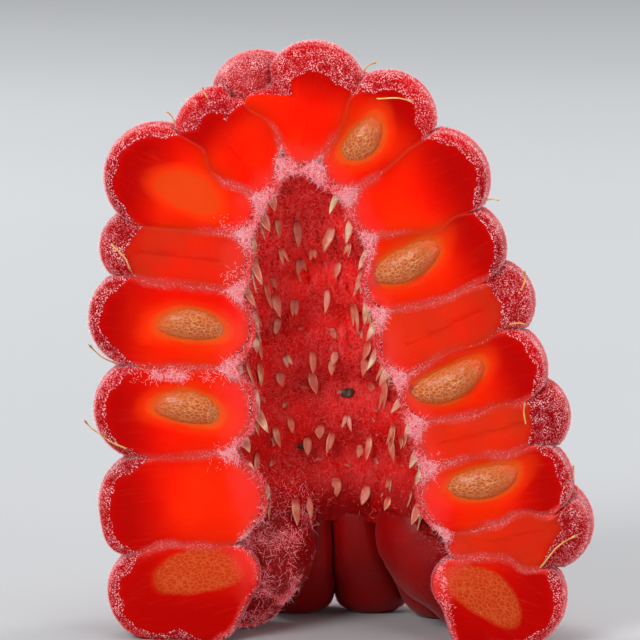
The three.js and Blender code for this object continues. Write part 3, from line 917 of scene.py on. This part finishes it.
def hairs(points, normals, length, rng, bent, leaning):
    """Closed slivers: thin three-sided spikes, each bent once half way up when bent is set."""
    count = len(points)

    def off(direction, much):
        return unit(direction + rng.normal(size=(count, 3)) * much)

    direction = off(normals, 0.38 if leaning else 0.2)
    side = unit(np.cross(direction, rng.normal(size=(count, 3))))
    other = np.cross(direction, side)
    half = points + direction * (length * 0.5)[:, None]
    tip = half + (off(direction, 0.8) if bent else direction) * (length * 0.5)[:, None]
    for end in (half, tip):
        np.clip(end, BOX_LOW, BOX_HIGH, out=end)
        end[:, 2] = np.maximum(end[:, 2], 0.01)
    rings = [(points - direction * HAIR_DEPTH, HAIR_RADIUS)] + ([(half, 0.75 * HAIR_RADIUS)] if bent else [])
    verts = []
    for middle, radius in rings:
        for k in range(3):
            a = 2 * math.pi * k / 3
            verts.append(middle + radius * (math.cos(a) * side + math.sin(a) * other))
    verts = np.stack(verts + [tip], axis=1)
    per = verts.shape[1]
    shapes = [(0, 2, 1)] + [(per - 4 + k, per - 4 + (k + 1) % 3, per - 1) for k in range(3)]
    if bent:
        for a, b in ((0, 1), (1, 2), (2, 0)):
            shapes += [(a, b, 3 + b), (a, 3 + b, 3 + a)]
    tris = np.concatenate([np.arange(count)[:, None] * per + np.array(f) for f in shapes])
    along = [0.0] * 3 + [0.5] * (per - 4) + [1.0]
    return verts.reshape(-1, 3), tris, np.tile(along, count)


def fuzz_pieces():
    """All the hairs, as pieces by where they grow."""
    points, normals, length, zone = (np.concatenate(column) for column in zip(*FUZZ))
    left, front = points[:, 0] < axis_x(points[:, 2]), points[:, 1] < AXIS_Y + 2.0
    skin = zone == SKIN_FUZZ
    made = []
    for name, chosen, material in (
        ("fuzz_skin_left", skin & left & front, M_FUZZ),
        ("fuzz_skin_right", skin & ~left & front, M_FUZZ),
        ("fuzz_skin_back", skin & ~front, M_FUZZ),
        ("fuzz_hollow", zone == HOLLOW_FUZZ, M_HOLLOW_FUZZ),
        ("fuzz_seams", zone == SEAM_FUZZ, M_SEAM_FUZZ),
    ):
        rng = np.random.default_rng(len(name))
        bent, leaning = material is M_HOLLOW_FUZZ, material is not M_FUZZ
        verts, tris, along = hairs(points[chosen], normals[chosen], length[chosen], rng, bent, leaning)
        build = Build()
        build.add(verts, [tris], tip=along)
        made.append(build.make(name, material))
    return made


PEG_RINGS, PEG_SIDES, PEG_FLATNESS = 9, 10, 0.34
LOWEST_PEG_Z = 4.6  # none of the rows starts lower
PEG_ROWS, PEG_PITCH = 12, 0.95  # the pitch is between neighbours in a row
EDGE_PEG_Z, EDGE_PEG_STEP = (4.9, 15.6), 0.85  # a row of them down each edge of the hollow
FORKED = 0.3  # of the pegs are forked


def peg(build, root, down, inward, length, width, deep, rng):
    """A flat pale tooth, broad at its root and grooved down its front, its point a little off the wall."""
    across = unit(np.cross(down, inward))
    face = np.cross(across, down)
    if face @ inward < 0:
        face = -face
    bend = rng.uniform(-0.05, 0.18) * length
    sway = rng.uniform(-0.14, 0.14) * length
    thick = width * PEG_FLATNESS
    t, a = np.meshgrid(np.linspace(0, 1, PEG_RINGS), ball_angles(0, PEG_SIDES)[1], indexing="ij")
    groove = np.maximum(0.0, np.sin(a)) ** 3
    wide = width * (0.75 + 0.35 * np.sin(math.pi * t)) * (1 - t**2.6) ** 0.8 + 0.03
    out = bend * t * t + np.sin(a) * (1 - 0.55 * groove * (1 - t)) * thick * (1 - 0.6 * t) / 2
    grid = root + down * (length * t)[..., None]
    grid = grid + across * (sway * t * t + np.cos(a) * wide / 2)[..., None] + face * out[..., None]
    top = root - down * 0.05 - face * 0.03
    bottom = root + down * length * 1.03 + face * bend + across * sway
    verts = np.concatenate([grid.reshape(-1, 3), [top, bottom]])
    faces = capped_faces(PEG_RINGS, PEG_SIDES)
    tip, groove = np.append(t, [0, 1]), np.append(groove, [0, 0])
    build.add(verts, faces, tip=tip, groove=groove, deep=np.full(len(verts), deep))


def pegs(inner):
    """Pegs in staggered rows over the wall of the hollow, from its surface grid, and down both its edges."""
    build = Build()
    rng = np.random.default_rng(5)
    rows = len(inner)
    first = int(wall_row(LOWEST_PEG_Z))
    for k in range(PEG_ROWS):
        row = int(first + (rows - 14 - first) * (k + 0.3) / PEG_ROWS)
        line = inner[row, 1:-1]
        run = np.concatenate([[0], np.cumsum(np.linalg.norm(np.diff(line, axis=0), axis=1))])
        count = max(2, int(run[-1] / PEG_PITCH))
        for m in range(count):
            want = run[-1] * (m + 0.5 + (0.25 if k % 2 else -0.25) + rng.uniform(-0.3, 0.3)) / count
            c = int(np.clip(np.searchsorted(run, want), 1, len(line) - 2))
            r = int(np.clip(row + rng.integers(-5, 6), 1, rows - 2))
            at = inner[r, c + 1]
            if at[1] < CUT_Y + 0.25:
                continue
            inward = unit(np.array([axis_x(at[2]) - at[0], AXIS_Y - at[1], 0.0]))
            down = unit(inward * rng.uniform(0.0, 0.28) - UP + rng.normal(size=3) * 0.16)
            root = at + inward * 0.02
            length, width = rng.uniform(0.45, 0.9), rng.uniform(0.2, 0.34)
            deep = float(smoothstep(CUT_Y + 0.5, CUT_Y + 2.6, at[1])) * rng.uniform(0.5, 1.0)
            if rng.random() < FORKED:
                across = np.cross(down, inward)
                for side in (-across, across):  # two narrow teeth from one root
                    split = unit(down + side * rng.uniform(0.1, 0.2))
                    reach = length * rng.uniform(0.7, 1)
                    peg(build, root + side * 0.04, split, inward, reach, width * 0.5, deep, rng)
            else:
                peg(build, root, down, inward, length, width, deep, rng)
    for column, higher in ((2, 0.0), (len(inner[0]) - 3, 0.3)):
        for z in np.arange(*EDGE_PEG_Z, EDGE_PEG_STEP) + higher:
            r = int(wall_row(z + rng.uniform(-0.2, 0.2)))
            at = inner[min(r, rows - 12), column]
            inward = unit(np.array([axis_x(at[2]) - at[0], 0.0, 0.0]))
            down = unit(np.array([0, -0.1, -1.0]) + inward * rng.uniform(0.1, 0.5))
            front = unit(inward * 0.4 - INWARD)
            root = at - down * 0.1 - INWARD * 0.03
            peg(build, root, down, front, rng.uniform(0.55, 0.9), rng.uniform(0.2, 0.32), 0.0, rng)
    return build.make("hollow_pegs", M_PEG)


# ---- Bristles and grit ---------------------------------------------------------------------------

INTO_VIEW = np.array([-0.0875, 1.0, -0.141])  # a line of sight past the cut face, to a millimetre of depth
DEEPEST, DEPTH_STEP = 7.0, 0.02


def on_surface(x, z, sunk):
    """Where a line of sight past (x, z) of the cut plane first is so deep in the fruit, or comes closest."""
    depth = np.arange(0.0, DEEPEST, DEPTH_STEP)
    line = np.array([x, CUT_Y, z]) + depth[:, None] * INTO_VIEW
    nearest = nearest_of(line, DRUPELETS)
    hit = np.flatnonzero(nearest < -sunk)
    return line[hit[0] if len(hit) else np.argmin(nearest)]


def smooth_path(points, count):
    """A curve through points, evenly stepped, by Catmull and Rom's rule."""
    p = np.array(points)
    p = np.concatenate([2 * p[:1] - p[1:2], p, 2 * p[-1:] - p[-2:-1]])
    out = []
    for t in np.linspace(0, len(points) - 1, count):
        k = min(int(t), len(points) - 2)
        f = t - k
        a, b, c, d = p[k : k + 4]
        square, cube = 2 * a - 5 * b + 4 * c - d, 3 * b - a - 3 * c + d
        out.append(0.5 * (2 * b + (c - a) * f + square * f**2 + cube * f**3))
    return np.array(out)


# Golden bristles, what is left of the flower's pistils. For each: root and tip as (x, z) of the cut plane,
# how far its tip leans towards the front, and how much it bows.
BRISTLES = (
    ((0.71, 19.35), (1.21, 19.77), 0.1, 0.1),
    ((1.28, 18.42), (2.45, 18.33), 0.16, 0.08),
    ((4.75, 15.07), (5.28, 15.1), 0.1, 0.05),
    ((5.98, 12.05), (6.11, 12.8), 0.25, -0.08),
    ((5.6, 10.93), (6.25, 10.95), 0.3, 0.06),
    ((-7.6, 9.42), (-8.55, 10.13), 0.2, 0.1),
    ((-8.1, 7.0), (-8.7, 7.53), 0.1, 0.06),
    ((-7.35, 6.6), (-8.1, 7.13), 0.3, 0.06),
    ((-5.6, 17.6), (-5.89, 18.02), 0.1, -0.05),
    ((-4.5, 18.45), (-4.62, 18.78), 0.1, 0.03),
    ((6.15, 7.65), (6.15, 8.4), 0.3, 0.05),
    ((6.75, 2.83), (8.0, 3.97), 0.3, 0.14),
    ((-7.65, 13.4), (-7.05, 12.6), 0.2, 0.1),
    ((7.75, 5.7), (7.78, 6.27), 0.2, -0.04),
)
BRISTLE_RADIUS, BRISTLE_SIDES, BRISTLE_STEPS = 0.034, 8, 14


def bristles():
    """Closed strands, each with a small swelling just short of its tip."""
    build = Build()
    phi = ball_angles(0, BRISTLE_SIDES)[1]
    for (x0, z0), (x1, z1), lean, bow in BRISTLES:
        root = on_surface(x0, z0, 0.02)
        tip = root + np.array([x1 - x0, -lean, z1 - z0])
        chord = tip - root
        bend = unit(np.cross(chord, INWARD))
        into = root - chord * 0.12 + INWARD * 0.06
        path = smooth_path([into, root, (root + tip) / 2 + bend * bow, tip], BRISTLE_STEPS)
        along = unit(np.gradient(path, axis=0))
        across = unit(np.cross(along, INWARD))
        t = np.linspace(0, 1, len(path))
        thick = BRISTLE_RADIUS * (1 - 0.45 * t + 0.9 * np.exp(-(((t - 0.95) / 0.05) ** 2)))
        out = np.cross(across, along)
        ring = np.cos(phi)[:, None] * across[:, None] + np.sin(phi)[:, None] * out[:, None]
        grid = path[:, None] + ring * thick[:, None, None]
        grid[[0, -1]] = path[[0, -1], None]
        rows = len(path) - 2
        tips = np.concatenate([np.repeat(np.linspace(0, 1, rows), BRISTLE_SIDES), [0, 1]])
        build.add(poles_last(grid), capped_faces(rows, BRISTLE_SIDES, flip=True), tip=tips)
    return build.make("bristles", M_BRISTLE)


# Dark specks caught on the wall: bearing, height and half their length.
GRIT = ((80, 8.05, 0.24), (114, 6.2, 0.17))
GRIT_SHAPE = np.array([1.0, 0.55, 0.7])
GRIT_ROWS, GRIT_COLUMNS = 16, 20


def grit(inner):
    """Lumpy closed specks on the wall's grid."""
    build = Build()
    beta, phi = ball_angles(GRIT_ROWS, GRIT_COLUMNS)
    beta = beta[:, None]
    ball = np.stack([np.cos(beta) + 0 * phi, np.sin(beta) * np.cos(phi), np.sin(beta) * np.sin(phi)], axis=-1)
    for k, (bearing, z, size) in enumerate(GRIT):
        at = inner[round(wall_row(z)), 1 + round(bearing / 180 * (WALL_COLUMNS - 1))]
        p = ball * size * GRIT_SHAPE
        lumps = 0.28 * noise(p, size * 0.45, 95 + k) + 0.15 * noise(p, size * 0.2, 97 + k)
        build.add(poles_last(at + p * (1 + lumps)[..., None]), capped_faces(GRIT_ROWS, GRIT_COLUMNS))
    return build.make("wall_grit", M_GRIT)


# ---- Materials -----------------------------------------------------------------------------------


class Nodes:
    """Short calls for a material's nodes. What is put in a socket is a number, a colour or another socket."""

    def __init__(self, name):
        self.material = bpy.data.materials.new(name)
        self.material.use_nodes = True
        self.tree = self.material.node_tree
        self.place = self.new("ShaderNodeTexCoord", {})["Object"]

    def put(self, socket, value):
        if isinstance(value, bpy.types.NodeSocket):
            self.tree.links.new(value, socket)
        elif socket.type == "RGBA":
            socket.default_value = (*value, 1.0)
        else:
            socket.default_value = value

    def new(self, kind, inputs, **settings):
        """Makes a node, with inputs by their names or numbers, and returns its outputs."""
        node = self.tree.nodes.new(kind)
        for key, value in settings.items():
            setattr(node, key, value)
        for key, value in inputs.items():
            self.put(node.inputs[key], value)
        return node.outputs

    def set(self, **values):
        """Puts values in the shader's own sockets."""
        for key, value in values.items():
            self.put(self.tree.nodes["Principled BSDF"].inputs[key.replace("_", " ")], value)

    def soft(self, weight, reach, scale):
        """Lets light through; reach is how far its red, green and blue go, in scale metres."""
        self.set(Subsurface_Weight=weight, Subsurface_Radius=reach, Subsurface_Scale=scale)

    def coordinate(self, axis):
        return self.new("ShaderNodeSeparateXYZ", {"Vector": self.place})[axis]

    def attribute(self, name):
        return self.new("ShaderNodeAttribute", {}, attribute_name=name)["Fac"]

    def vector(self, x, y, z=0.0):
        return self.new("ShaderNodeCombineXYZ", {0: x, 1: y, 2: z})["Vector"]

    def vectors(self, operation, a, b):
        return self.new("ShaderNodeVectorMath", {0: a, 1: b}, operation=operation)["Vector"]

    def noise(self, scale, detail=2.0, roughness=0.5, coords=None, output="Fac"):
        inputs = {"Scale": scale, "Detail": detail, "Roughness": roughness, "Vector": coords or self.place}
        return self.new("ShaderNodeTexNoise", inputs)[output]

    def cells(self, scale, feature="F1", coords=None):
        """How far from the nearest scattered point, or from the border between two, in cells."""
        inputs = {"Scale": scale, "Vector": coords or self.place}
        return self.new("ShaderNodeTexVoronoi", inputs, feature=feature)["Distance"]

    def net(self, scale, depth):
        """How far from the borders of a stone's net, in a frame drawn out along the stone."""
        along = self.times(self.attribute("stone_u"), NET_STRETCH[0])
        return self.cells(scale, "DISTANCE_TO_EDGE", self.vector(along, self.attribute("stone_v"), depth))

    def span(self, value, lo, hi, out_lo=0.0, out_hi=1.0):
        """From out_lo to out_hi, smoothly, as value goes from lo to hi."""
        inputs = {"Value": value, "From Min": lo, "From Max": hi, "To Min": out_lo, "To Max": out_hi}
        return self.new("ShaderNodeMapRange", inputs, clamp=True, interpolation_type="SMOOTHSTEP")["Result"]

    def math(self, operation, a, b):
        return self.new("ShaderNodeMath", {0: a, 1: b}, operation=operation)["Value"]

    def times(self, a, b):
        return self.math("MULTIPLY", a, b)

    def plus(self, a, b):
        return self.math("ADD", a, b)

    def most(self, a, b):
        return self.math("MAXIMUM", a, b)

    def waver(self, value, noise, much):
        """Value, made to waver by so much of a noise."""
        return self.plus(value, self.times(self.math("SUBTRACT", noise, 0.5), much))

    def mix(self, factor, a, b):
        return self.new("ShaderNodeMix", {"Factor": factor, "A": a, "B": b}, data_type="RGBA")["Result"]

    def lay(self, colour, where, share=1.0):
        """Lays a colour over the material's own, as much of it as where and share say."""
        self.colour = self.mix(self.times(where, share), self.colour, colour)

    def done(self, **values):
        self.set(Base_Color=self.colour, **values)
        return self.material

    def bump(self, height, strength, distance):
        inputs = {"Strength": strength, "Distance": distance, "Height": height}
        self.set(Normal=self.new("ShaderNodeBump", inputs)["Normal"])


# Painted light: an emission strength, a glow painted into the flesh and the wall, standing in for light that
# reaches the flesh through the fruit.
FLESH_PAINTED_GLOW = 0.09  # the light that reaches the flesh through the rest of the fruit
# Painted light: emission strengths of the hairs, a glow standing in for the light they pass on to each other.
FUZZ_PAINTED_GLOW, SEAM_PAINTED_GLOW = 0.16, 0.24  # the light that fine hairs pass on to each other
# Painted shade: the bare skin facing the hollow, painted dark.
BARE_SHADED_SKIN = (0.2, 0.0005, 0.001), (0.36, 0.001, 0.001)  # from dark to light


def flesh_material():
    n = Nodes("raspberry_flesh")
    deep, bright, orange = (0.46, 0.001, 0.0005), (0.92, 0.005, 0.0005), (1.0, 0.036, 0.001)
    along, across = n.attribute("along"), n.attribute("across")
    # Painted light: the flesh is painted brighter and more orange towards the middle of each drupelet, as
    # where light shines through it. It is painted darker towards its outer end and near the floor.
    painted_glow = n.times(n.span(along, 1.25, 0.45), n.span(n.coordinate("Z"), 0.0008, 0.0055))
    n.colour = n.mix(painted_glow, deep, bright)
    n.lay(orange, n.times(n.span(n.noise(380.0), 0.35, 0.7), painted_glow), 0.55)
    fibre = n.noise(1.0, 3.0, 0.6, n.vector(n.times(along, 2.2), n.times(across, 7.0)))
    n.lay((0.95, 0.07, 0.03), n.span(fibre, 0.52, 0.78), 0.12)
    dull = n.times(n.attribute("torn"), n.span(n.noise(900.0, 3.0), 0.3, 0.7, 0.2, 0.42))
    n.lay((0.42, 0.05, 0.014), dull)
    # Painted light: the flesh round a stone is painted a lighter orange, less so lower down. Where it still
    # veils one, the stone's net shows, less the deeper it lies.
    near, veil = n.waver(n.attribute("stone_r"), n.noise(800.0), 0.5), n.attribute("stone_veil")
    painted_stone_glow = n.times(n.span(near, 1.65, 1.05), n.span(n.coordinate("Z"), 0.0015, 0.006, 0.0, 0.5))
    n.lay((0.98, 0.055, 0.003), painted_stone_glow)
    thin, thick = n.span(veil, 0.2, 0.45), n.span(veil, 0.6, 0.85)
    clear = n.times(n.span(veil, 0.8, 0.5), n.span(veil, 0.2, 0.4, 0.15, 0.4))
    ghost = n.times(n.span(n.net(9.0, 0.0), 0.12, 0.02), clear)
    dusk = n.mix(thick, n.mix(thin, (0.84, 0.11, 0.01), (0.52, 0.06, 0.009)), (0.72, 0.072, 0.007))
    brown = n.mix(ghost, dusk, (0.78, 0.25, 0.07))
    soft = n.times(n.span(near, 1.6, 0.4), n.span(veil, 0.6, 0.85, 0.0, 0.55))
    wide = n.mix(thick, n.times(n.span(near, 1.4, 1.1), thin), soft)
    n.lay(brown, n.most(n.span(near, 1.18, 0.92), wide), 0.7)
    # Towards the hollow the flesh pales.
    inner = n.span(n.plus(along, n.times(n.noise(1200.0, 3.0), 0.5)), 0.28, -0.1)
    n.lay((0.9, 0.06, 0.05), inner, 0.4)
    # Pale seams where drupelets meet, and torn skin at the free rims.
    inset = n.waver(n.attribute("inset"), n.noise(1800.0, 3.0), 0.3)
    seam = n.times(n.span(inset, 0.26, 0.02), n.attribute("met"))
    membrane = n.mix(n.span(n.cells(12000.0), 0.4, 0.15), (0.95, 0.1, 0.09), (0.97, 0.42, 0.44))
    n.lay(membrane, seam, 0.7)
    lap = n.plus(n.attribute("skin"), n.times(n.noise(2500.0, 3.0), 0.14))
    skin = n.span(lap, 0.05, 0.09)
    n.lay((0.5, 0.003, 0.003), n.span(lap, -0.2, 0.07), 0.35)
    n.lay(skin_colour(n, n.span(lap, 0.19, 0.09)), skin)
    # Painted light: the flesh glows faintly with its own colour, and brighter where two drupelets touch,
    # standing in for light passing from one to the other.
    painted_seam_glow = n.times(n.span(n.attribute("inset"), 0.09, 0.0), n.attribute("touch"))
    n.set(Emission_Color=n.mix(painted_seam_glow, n.colour, (3.2, 0.2, 0.1)), Emission_Strength=FLESH_PAINTED_GLOW)
    n.soft(1.0, (1.0, 0.05, 0.025), 0.0009)
    n.bump(n.plus(n.noise(1300.0, 3.0), n.times(fibre, 0.5)), 0.25, 0.0001)
    return n.done(IOR=1.33, Specular_IOR_Level=0.06, Roughness=n.span(skin, 0, 1, 0.25, 0.5))


def skin_colour(n, edge=0.0):
    """Dark red under pale dots, thickest along the torn edge: partly the pale hairs' own colour, partly
    painted highlight for their glints.
    """
    base = n.mix(n.span(n.noise(300.0, 3.0), 0.3, 0.7), (0.3, 0.001, 0.003), (0.52, 0.004, 0.006))
    patchy = n.times(n.span(n.noise(3200.0), 0.35, 0.65), n.span(n.noise(900.0, 3.0), 0.3, 0.6, 0.5, 1.0))
    pale_dots_and_glints = n.times(n.span(n.cells(18000.0), 0.5, 0.22), n.most(patchy, edge))
    return n.mix(pale_dots_and_glints, base, (0.97, 0.55, 0.58))


def skin_material(name, inside=False):
    n = Nodes(name)
    n.colour = skin_colour(n)
    # Painted shade: towards the hollow the bare skin is painted dark for the shade there.
    if inside:  # towards the hollow the skin is bare, dark and smooth
        n.lay(n.mix(n.noise(700.0), *BARE_SHADED_SKIN), n.attribute("bare"))
    n.soft(0.8, (1.0, 0.08, 0.05), 0.0012)
    n.set(Sheen_Weight=0.05, Sheen_Roughness=0.4, Sheen_Tint=(1.0, 0.6, 0.65))
    n.bump(n.plus(n.noise(4200.0, 3.0), n.noise(900.0)), 0.5, 0.00006)
    return n.done(Roughness=0.4, IOR=1.36, Specular_IOR_Level=0.3)


def wall_material():
    n = Nodes("hollow_wall")
    n.colour = n.mix(n.span(n.noise(450.0, 4.0), 0.3, 0.7), (0.5, 0.001, 0.001), (0.85, 0.007, 0.003))
    n.lay((0.88, 0.04, 0.03), n.span(n.noise(1500.0, 3.0), 0.45, 0.7), 0.5)
    wave = n.vectors("MULTIPLY", n.noise(2600.0, output="Color"), (0.00035, 0.00035, 0.00035))
    mat = n.cells(6500.0, "DISTANCE_TO_EDGE", n.vectors("ADD", n.place, wave))
    strands = n.times(n.span(mat, 0.14, 0.02), n.span(n.noise(700.0, 3.0), 0.35, 0.6))
    n.lay((0.9, 0.16, 0.16), strands, 0.4)
    streaks = n.noise(5200.0, 3.0, 0.65, n.vectors("MULTIPLY", n.place, (1.0, 1.0, 0.28)))
    n.lay((0.3, 0.0, 0.0), n.span(streaks, 0.48, 0.3), 0.7)
    n.lay((0.92, 0.14, 0.13), n.span(streaks, 0.56, 0.7), 0.45)
    # Painted shade: lower down the wall is painted darker, and below that like the hanging drupelets' bare,
    # smooth skins, painted dark for the shade deep in the hollow.
    height = n.coordinate("Z")
    n.lay((0.4, 0.001, 0.001), n.span(height, 0.013, 0.006, 0.0, 0.45))
    n.lay(n.mix(n.noise(700.0), *BARE_SHADED_SKIN), n.span(height, 0.0058, 0.0042))
    at_cut = n.span(n.coordinate("Y"), -0.0034, -0.0038)
    cut = n.mix(n.noise(1500.0, 3.0), (0.8, 0.01, 0.005), (0.95, 0.09, 0.08))
    n.lay(cut, at_cut, 0.85)
    # Painted light: the wall glows faintly with its own colour.
    n.set(Emission_Color=n.colour, Emission_Strength=0.6 * FLESH_PAINTED_GLOW)
    n.soft(0.8, (1.0, 0.1, 0.06), 0.0008)
    n.bump(n.plus(n.noise(3600.0, 4.0), streaks), 0.7, 0.0001)
    return n.done(Specular_IOR_Level=0.1, Roughness=0.5)


def stone_material():
    n = Nodes("raspberry_stone")
    ridge = n.span(n.net(9.5, n.attribute("stone_w")), 0.14, 0.02)
    n.colour = n.mix(n.noise(1500.0), (0.46, 0.075, 0.014), (0.6, 0.12, 0.026))
    n.lay((0.82, 0.4, 0.14), ridge, 0.65)
    edge = n.plus(n.attribute("edge"), n.times(n.noise(900.0), 0.35))
    coat = n.most(n.span(edge, 0.45, 1.15), n.attribute("veiled"))
    dusk = n.mix(n.times(ridge, 0.35), (0.58, 0.11, 0.016), (0.76, 0.27, 0.07))
    n.lay(dusk, coat, 0.9)
    n.lay((0.9, 0.08, 0.01), n.span(edge, 1.05, 1.4), 0.6)
    n.soft(0.7, (1.0, 0.35, 0.15), 0.0004)
    n.bump(n.plus(ridge, n.times(n.noise(6000.0, 3.0), 0.4)), 0.5, 0.00004)
    return n.done(Roughness=0.3, Coat_Weight=0.08, Coat_Roughness=0.15, Specular_IOR_Level=0.3)


def fuzz_material(name, root, tip, painted_glow=FUZZ_PAINTED_GLOW):
    n = Nodes(name)
    shade = n.mix(n.noise(600.0), root, tuple(0.8 * c for c in root))
    n.colour = n.mix(n.span(n.attribute("tip"), 0.0, 0.9), shade, tip)
    n.soft(1.0, (1.0, 0.7, 0.7), 0.00003)
    # Painted light: the hairs glow with their own colour, lifting them out of their shade.
    return n.done(Emission_Color=n.colour, Emission_Strength=painted_glow, Roughness=0.4)


def peg_material():
    n = Nodes("hollow_peg")
    groove, deep = n.attribute("groove"), n.attribute("deep")
    n.colour = n.mix(n.span(n.noise(3000.0), 0.35, 0.65), (0.5, 0.3, 0.15), (0.8, 0.62, 0.4))
    inside = n.times(n.span(groove, 0.1, 0.6), n.span(n.noise(1400.0), 0.3, 0.6))
    inside = n.most(inside, n.times(n.span(groove, 0.0, 0.3), deep))
    n.lay((0.6, 0.05, 0.03), inside, 0.85)
    n.lay((0.7, 0.14, 0.09), deep, 0.4)
    n.lay((0.5, 0.04, 0.02), n.span(n.attribute("tip"), 0.3, 0.0))
    n.soft(0.5, (1.0, 0.5, 0.3), 0.00015)
    n.bump(n.noise(7000.0, 3.0), 0.6, 0.00004)
    return n.done(Roughness=0.4)


def bristle_material():
    n = Nodes("bristle")
    n.colour = n.mix(n.span(n.attribute("tip"), 0.75, 0.95), (0.72, 0.4, 0.1), (0.42, 0.17, 0.03))
    n.lay((0.85, 0.56, 0.2), n.span(n.noise(4000.0), 0.4, 0.7))
    n.soft(0.5, (1.0, 0.6, 0.2), 0.00008)
    return n.done(Roughness=0.35)


def grit_material():
    n = Nodes("grit")
    n.colour = n.mix(n.noise(5000.0, 3.0), (0.012, 0.008, 0.004), (0.09, 0.05, 0.02))
    n.bump(n.noise(9000.0, 3.0), 0.8, 0.00008)
    return n.done(Roughness=0.35)


M_FUZZ = fuzz_material("skin_fuzz", (0.85, 0.14, 0.16), (1.0, 0.74, 0.76))
M_HOLLOW_FUZZ = fuzz_material("hollow_fuzz", (0.85, 0.012, 0.01), (0.95, 0.14, 0.13))
M_SEAM_FUZZ = fuzz_material("seam_fuzz", (0.92, 0.08, 0.1), (1.0, 0.6, 0.65), SEAM_PAINTED_GLOW)
M_PEG = peg_material()
M_BRISTLE = bristle_material()
M_GRIT = grit_material()
M_FLESH = flesh_material()
M_SKIN = skin_material("raspberry_skin")
M_WHOLE_SKIN = skin_material("raspberry_whole_skin", inside=True)
M_WALL = wall_material()
M_STONE = stone_material()

# ---- The pieces ----------------------------------------------------------------------------------


def fruit_piece(name, chosen, *materials):
    """Drupelets, by their numbers, as one piece."""
    build = Build()
    for i in chosen:
        if DRUPELETS[i].knifed:
            cut_drupelet(build, i)
        else:
            round_drupelet(build, i)
    return build.make(name, *materials)


def cut_ones(*sides):
    return [i for i, d in enumerate(DRUPELETS) if d.knifed and d.name.startswith(sides)]


pieces = [
    fruit_piece("fruit_cut_left", cut_ones("left"), M_FLESH, M_SKIN),
    fruit_piece("fruit_cut_right", cut_ones("right", "tip"), M_FLESH, M_SKIN),
    fruit_piece("fruit_back", [i for i, d in enumerate(DRUPELETS) if not d.knifed], M_WHOLE_SKIN),
]
shared_flesh, hollow_grid = wall_mesh()
patch_fuzz()
pieces += [shared_flesh, *fuzz_pieces(), pegs(hollow_grid), bristles(), grit(hollow_grid)]

for piece in pieces:
    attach(piece, "root")
    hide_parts("fruit")
for stone in STONES:
    piece = stone_mesh(stone)
    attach(piece, "root")
    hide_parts(stone[0])

# ---- Floor, lights and camera --------------------------------------------------------------------


FLOOR_GREY = (0.42, 0.43, 0.44)
# Each light's name, place and size in metres, and power in watts.
LIGHTS = (
    ("overhead", (0.1, 0.1, 0.75), (0.9, 0.9), 4.6),
    ("key", (-0.13, -0.22, 0.17), (0.12, 0.12), 0.62),
    ("fill", (0.2, -0.2, 0.09), (0.12, 0.12), 0.2),
    ("rim_left", (-0.17, 0.17, 0.13), (0.07, 0.1), 0.36),
    ("rim_right", (0.19, 0.16, 0.12), (0.07, 0.1), 0.36),
)
LIT_POINT = Vector((0, 0, 0.01))
CAMERA_AZIMUTH, CAMERA_ELEVATION, CAMERA_DISTANCE = math.radians(5), math.radians(8), 0.170
CAMERA_TARGET = Vector((-0.00072, CUT_Y * MM, 0.0110))
FRAME_WIDTH = 0.0213333  # what the frame holds across at the target
SENSOR = 36.0


def floor_material():
    n = Nodes("pale_floor")
    n.colour = n.mix(n.span(n.noise(12.0, 3.0), 0.3, 0.7), FLOOR_GREY, tuple(0.96 * c for c in FLOOR_GREY))
    return n.done(Roughness=0.8)


def stand(name, data, place, aim):
    """Puts a light or a camera in its place, facing along aim."""
    thing = bpy.data.objects.new(name, data)
    thing.location = place
    thing.rotation_euler = aim.to_track_quat("-Z", "Y").to_euler()
    bpy.context.scene.collection.objects.link(thing)
    return thing


bpy.ops.mesh.primitive_plane_add(size=3.0, location=(0, 0.5, 0))
floor = bpy.context.object
floor.name = "floor"
floor.data.materials.append(floor_material())

for name, place, size, power in LIGHTS:
    lamp = bpy.data.lights.new(name, "AREA")
    lamp.shape = "RECTANGLE"
    lamp.size, lamp.size_y = size
    lamp.energy = power
    stand(name, lamp, place, LIT_POINT - Vector(place))

world = bpy.data.worlds.new("studio")
bpy.context.scene.world = world
world.use_nodes = True
world.node_tree.nodes["Background"].inputs["Color"].default_value = (0.9, 0.93, 1.0, 1.0)
world.node_tree.nodes["Background"].inputs["Strength"].default_value = 0.2
bpy.context.scene.view_settings.view_transform = "Standard"

camera = bpy.data.cameras.new("camera")
camera.sensor_width = SENSOR
camera.lens = SENSOR * CAMERA_DISTANCE / FRAME_WIDTH
camera.clip_start, camera.clip_end = 0.01, 10.0
level = math.cos(CAMERA_ELEVATION)
aside, ahead = math.sin(CAMERA_AZIMUTH) * level, math.cos(CAMERA_AZIMUTH) * level
back = Vector((aside, -ahead, math.sin(CAMERA_ELEVATION)))
bpy.context.scene.camera = stand("camera", camera, CAMERA_TARGET + back * CAMERA_DISTANCE, -back)
